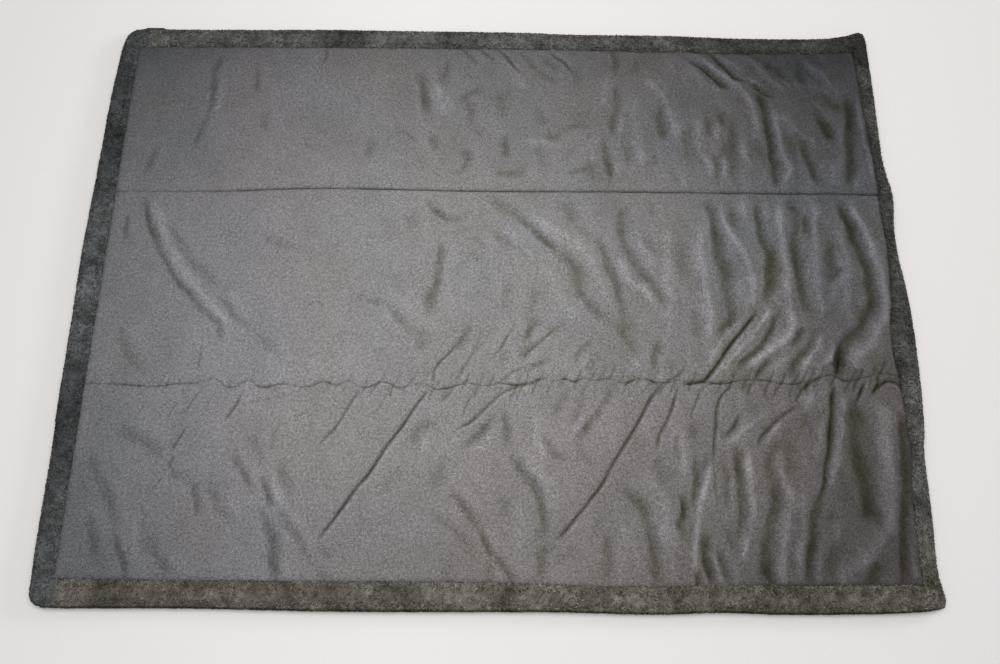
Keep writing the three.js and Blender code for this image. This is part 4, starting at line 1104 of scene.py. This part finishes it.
PLUSH = pile_material("plush", 430.0, 0.52, 0.06, 0.6, 0.93)
FUR = pile_material("fur", 620.0, 0.45, 0.05, 0.8, 0.92, 240.0)
THREAD = pile_material("thread", 1500.0, 0.15, 0.05, 0.4, 0.85, 400.0)
MADE = {
    "batting": made_material("wadding", (0.62, 0.62, 0.60), (0.82, 0.82, 0.80), 260, 0.95, bump=0.9,
                             sheen=0.3),
    "reflector_film": made_material("reflector_foil", (0.60, 0.61, 0.62), (0.86, 0.87, 0.88), 60, 0.28,
                                    metallic=0.9, bump=0.5),
    "heater_carrier": made_material("carrier_cloth", (0.50, 0.49, 0.45), (0.66, 0.65, 0.60), 900, 0.88,
                                    bump=0.6, stretch=(1, 0.12, 1)),
    "heater_cable": made_material("heater_sheath", (0.50, 0.07, 0.04), (0.62, 0.11, 0.06), 700, 0.45),
    "cushion_felt": made_material("felt", (0.16, 0.16, 0.17), (0.27, 0.27, 0.28), 420, 0.96, bump=0.9,
                                  sheen=0.3),
    "supply_lead": made_material("lead_sheath", (0.75, 0.74, 0.70), (0.85, 0.84, 0.80), 500, 0.42),
    "sensor_lead": made_material("sensor_sheath", (0.08, 0.08, 0.09), (0.14, 0.14, 0.15), 500, 0.42),
    "thermal_cutout": made_material("cutout_case", (0.07, 0.07, 0.08), (0.12, 0.12, 0.13), 800, 0.35),
    "splice": made_material("crimp_copper", (0.62, 0.32, 0.18), (0.78, 0.44, 0.27), 900, 0.35,
                            metallic=1.0),
    "temperature_sensor": made_material("sensor_case", (0.03, 0.05, 0.09), (0.06, 0.09, 0.15), 900, 0.30),
    "contact_pin": made_material("brass", (0.66, 0.49, 0.22), (0.83, 0.65, 0.33), 900, 0.25,
                                 metallic=1.0),
    "inlet": made_material("inlet_plastic", (0.020, 0.020, 0.021), (0.040, 0.040, 0.042), 1200, 0.42),
}


def set_material(obj, material):
    obj.data.materials.clear()
    obj.data.materials.append(material)


# ---------------------------------------------------------------- build
INLET_X = (bezel_low.x + bezel_high.x) / 2
INLET_HALF = (bezel_high.x - bezel_low.x) / 2 + 0.001
INLET_ROOF = bezel_high.z + 0.0006


def attach(obj):
    """Bakes the piece's placement into its mesh."""
    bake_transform(obj)


seam_left = {"upper": float(curve(UPPER_LINE, -1.0)), "lower": float(curve(LOWER_LINE, -1.0))}
seam_right = {"upper": float(curve(UPPER_LINE, 1.0)), "lower": float(curve(LOWER_LINE, 1.0))}
cut = {
    "left_lower": nearest(y=seam_left["lower"], side="left"),
    "left_upper": nearest(y=seam_left["upper"], side="left"),
    "far": nearest(x=JOIN_FAR, side="far"),
    "right_upper": nearest(y=seam_right["upper"], side="right"),
    "right_lower": nearest(y=seam_right["lower"], side="right"),
    "near": nearest(x=JOIN_NEAR, side="near"),
}
SLIT = 0.0004
BORDERS = [
    ("middle_left", "middle", "left_lower", "left_upper",
     ((1, seam_left["lower"] + SLIT), (1, seam_left["upper"] - SLIT))),
    ("top_left", "top", "left_upper", "far", ((1, seam_left["upper"] + SLIT), (0, JOIN_FAR - SLIT))),
    ("top_right", "top", "far", "right_upper", ((0, JOIN_FAR + SLIT), (1, seam_right["upper"] + SLIT))),
    ("middle_right", "middle", "right_upper", "right_lower",
     ((1, seam_right["upper"] - SLIT), (1, seam_right["lower"] + SLIT))),
    ("bottom_right", "bottom", "right_lower", "near",
     ((1, seam_right["lower"] - SLIT), (0, JOIN_NEAR + SLIT))),
    ("bottom_left", "bottom", "near", "left_lower",
     ((0, JOIN_NEAR - SLIT), (1, seam_left["lower"] - SLIT))),
]

for panel in PANELS:
    face = make_face(panel)
    set_material(face, PLUSH)
    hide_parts(f"face_panel_{panel}")
    attach(face)
    backing = make_backing(panel)
    set_material(backing, FUR)
    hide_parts(f"backing_panel_{panel}")
    attach(backing)

for label, panel, first, last, ends in BORDERS:
    border = make_border(f"fur_border_{label}", cut[first], cut[last], ends)
    set_material(border, FUR)
    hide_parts(f"border_{label}")
    attach(border)

SEAM_DEPTH = 0.0040
for name, line in (("upper", UPPER_LINE), ("lower", LOWER_LINE)):
    xs = np.linspace(INNER_LEFT + 0.004, 0.948, 240)
    thread = make_thread(f"seam_stitches_{name}", np.stack([xs, curve(line, xs)], 1),
                         REST_TOP - SEAM_DEPTH, 0.0006, 0.006)
    set_material(thread, THREAD)
    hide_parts(f"seam_thread_{name}")
    attach(thread)


def fur_seam(low, high, side):
    """Points down one side's fur line, 1.5 mm inside it."""
    ys = np.linspace(low, high, 60)
    xs = np.full(60, INNER_LEFT + 0.0015) if side == "left" else curve(INNER_RIGHT, ys) - 0.0015
    return np.stack([xs, ys], 1)


across = np.linspace(INNER_LEFT + 0.004, 0.940, 240)
far_line = np.stack([across, curve(INNER_FAR, across) - 0.0015], 1)
near_line = np.stack([across, curve(INNER_NEAR, across) + 0.0015], 1)
THREADS = {
    "middle_left": ("middle", fur_seam(-0.232, 0.248, "left")),
    "middle_right": ("middle", fur_seam(-0.214, 0.255, "right")),
    "top": ("top", np.vstack([fur_seam(0.264, 0.684, "left"), far_line,
                              fur_seam(0.272, 0.682, "right")[::-1]])),
    "bottom": ("bottom", np.vstack([fur_seam(-0.688, -0.250, "left")[::-1], near_line,
                                    fur_seam(-0.686, -0.230, "right")])),
}
for label, (panel, line) in THREADS.items():
    thread = make_thread(f"border_stitches_{label}", line, REST_TOP - SEAM_DEPTH, 0.0006, 0.006)
    set_material(thread, THREAD)
    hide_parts(f"border_thread_{label}")
    attach(thread)

for name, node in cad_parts.items():
    for prefix, material in MADE.items():
        if name.startswith(prefix):
            set_material(node, material)

# ---------------------------------------------------------------- floor, light, camera
FLOOR_REACH = 1.35


def floor_surface():
    """Pale smooth floor with painted shade, a little darker towards its two sides."""
    material, nodes, links = shader("pale_floor")
    body = nodes["Principled BSDF"]
    coords = nodes.new("ShaderNodeTexCoord").outputs["Object"]
    parts = nodes.new("ShaderNodeSeparateXYZ")
    links.new(coords, parts.inputs[0])
    # painted shade: the floor darkens towards both sides and is lightest a little left of the middle
    tint = nodes.new("ShaderNodeValToRGB")
    tint.color_ramp.elements[0].color = (0.755, 0.730, 0.724, 1)
    tint.color_ramp.elements[1].color = (0.700, 0.676, 0.674, 1)
    painted_light_middle = tint.color_ramp.elements.new(0.42)
    painted_light_middle.color = (0.83, 0.803, 0.796, 1)
    edges = nodes.new("ShaderNodeMapRange")
    edges.inputs["From Min"].default_value = -FLOOR_REACH
    edges.inputs["From Max"].default_value = FLOOR_REACH
    links.new(parts.outputs["X"], edges.inputs["Value"])
    links.new(edges.outputs["Result"], tint.inputs["Fac"])
    weave = grain(nodes, links, coords, 300.0, 3.0)
    speck = nodes.new("ShaderNodeVectorMath")
    speck.operation = "SCALE"
    links.new(tint.outputs["Color"], speck.inputs[0])
    links.new(spread_to(nodes, links, weave, 0.97, 1.03), speck.inputs["Scale"])
    links.new(speck.outputs[0], body.inputs["Base Color"])
    body.inputs["Roughness"].default_value = 0.9
    body.inputs["Specular IOR Level"].default_value = 0.1
    return material


bpy.ops.mesh.primitive_plane_add(size=60, location=(0, 0, 0))
floor = bpy.context.object
floor.name = "studio_floor"
set_material(floor, floor_surface())


def area_light(name, place, target, size, power, colour):
    data = bpy.data.lights.new(name, "AREA")
    data.shape = "RECTANGLE"
    data.size, data.size_y = size
    data.energy = power
    data.color = colour
    light = bpy.data.objects.new(name, data)
    light.location = place
    light.rotation_euler = (Vector(target) - Vector(place)).to_track_quat("-Z", "Y").to_euler()
    bpy.context.scene.collection.objects.link(light)


area_light("overhead", (0.0, 0.1, 4.2), (0, 0, 0), (5.0, 4.0), 150, (1.0, 0.99, 0.98))
area_light("raking", (6.0, 2.4, 1.8), (0.0, 0, 0), (2.6, 1.1), 175, (1.0, 0.99, 0.97))
world = bpy.data.worlds.new("soft_room")
world.use_nodes = True
world.node_tree.nodes["Background"].inputs["Color"].default_value = (1.0, 0.995, 0.99, 1)
world.node_tree.nodes["Background"].inputs["Strength"].default_value = 0.36
bpy.context.scene.world = world
bpy.context.scene.view_settings.view_transform = "Standard"
bpy.context.scene.view_settings.look = "None"

CAMERA_PLACE = Vector((0.02162, -0.92626, 2.21446))
CAMERA_YAW, CAMERA_TILT, CAMERA_ROLL = (math.radians(a) for a in (0.12333, 20.35012, 0.35308))


def add_camera():
    """The camera that the photo was taken with, as fitted to the blanket's four corners."""
    turn = Matrix.Rotation(CAMERA_YAW, 3, "Z")
    forward = turn @ Vector((0, math.sin(CAMERA_TILT), -math.cos(CAMERA_TILT)))
    right = turn @ Vector((1, 0, 0))
    above = right.cross(forward)
    cos_roll, sin_roll = math.cos(CAMERA_ROLL), math.sin(CAMERA_ROLL)
    axis_x = right * cos_roll + above * sin_roll
    axis_y = above * cos_roll - right * sin_roll
    data = bpy.data.cameras.new("camera")
    data.lens = 35.537
    data.sensor_width = 36.0
    camera = bpy.data.objects.new("camera", data)
    camera.matrix_world = Matrix((axis_x, axis_y, -forward)).transposed().to_4x4()
    camera.location = CAMERA_PLACE
    bpy.context.scene.collection.objects.link(camera)
    bpy.context.scene.camera = camera


add_camera()
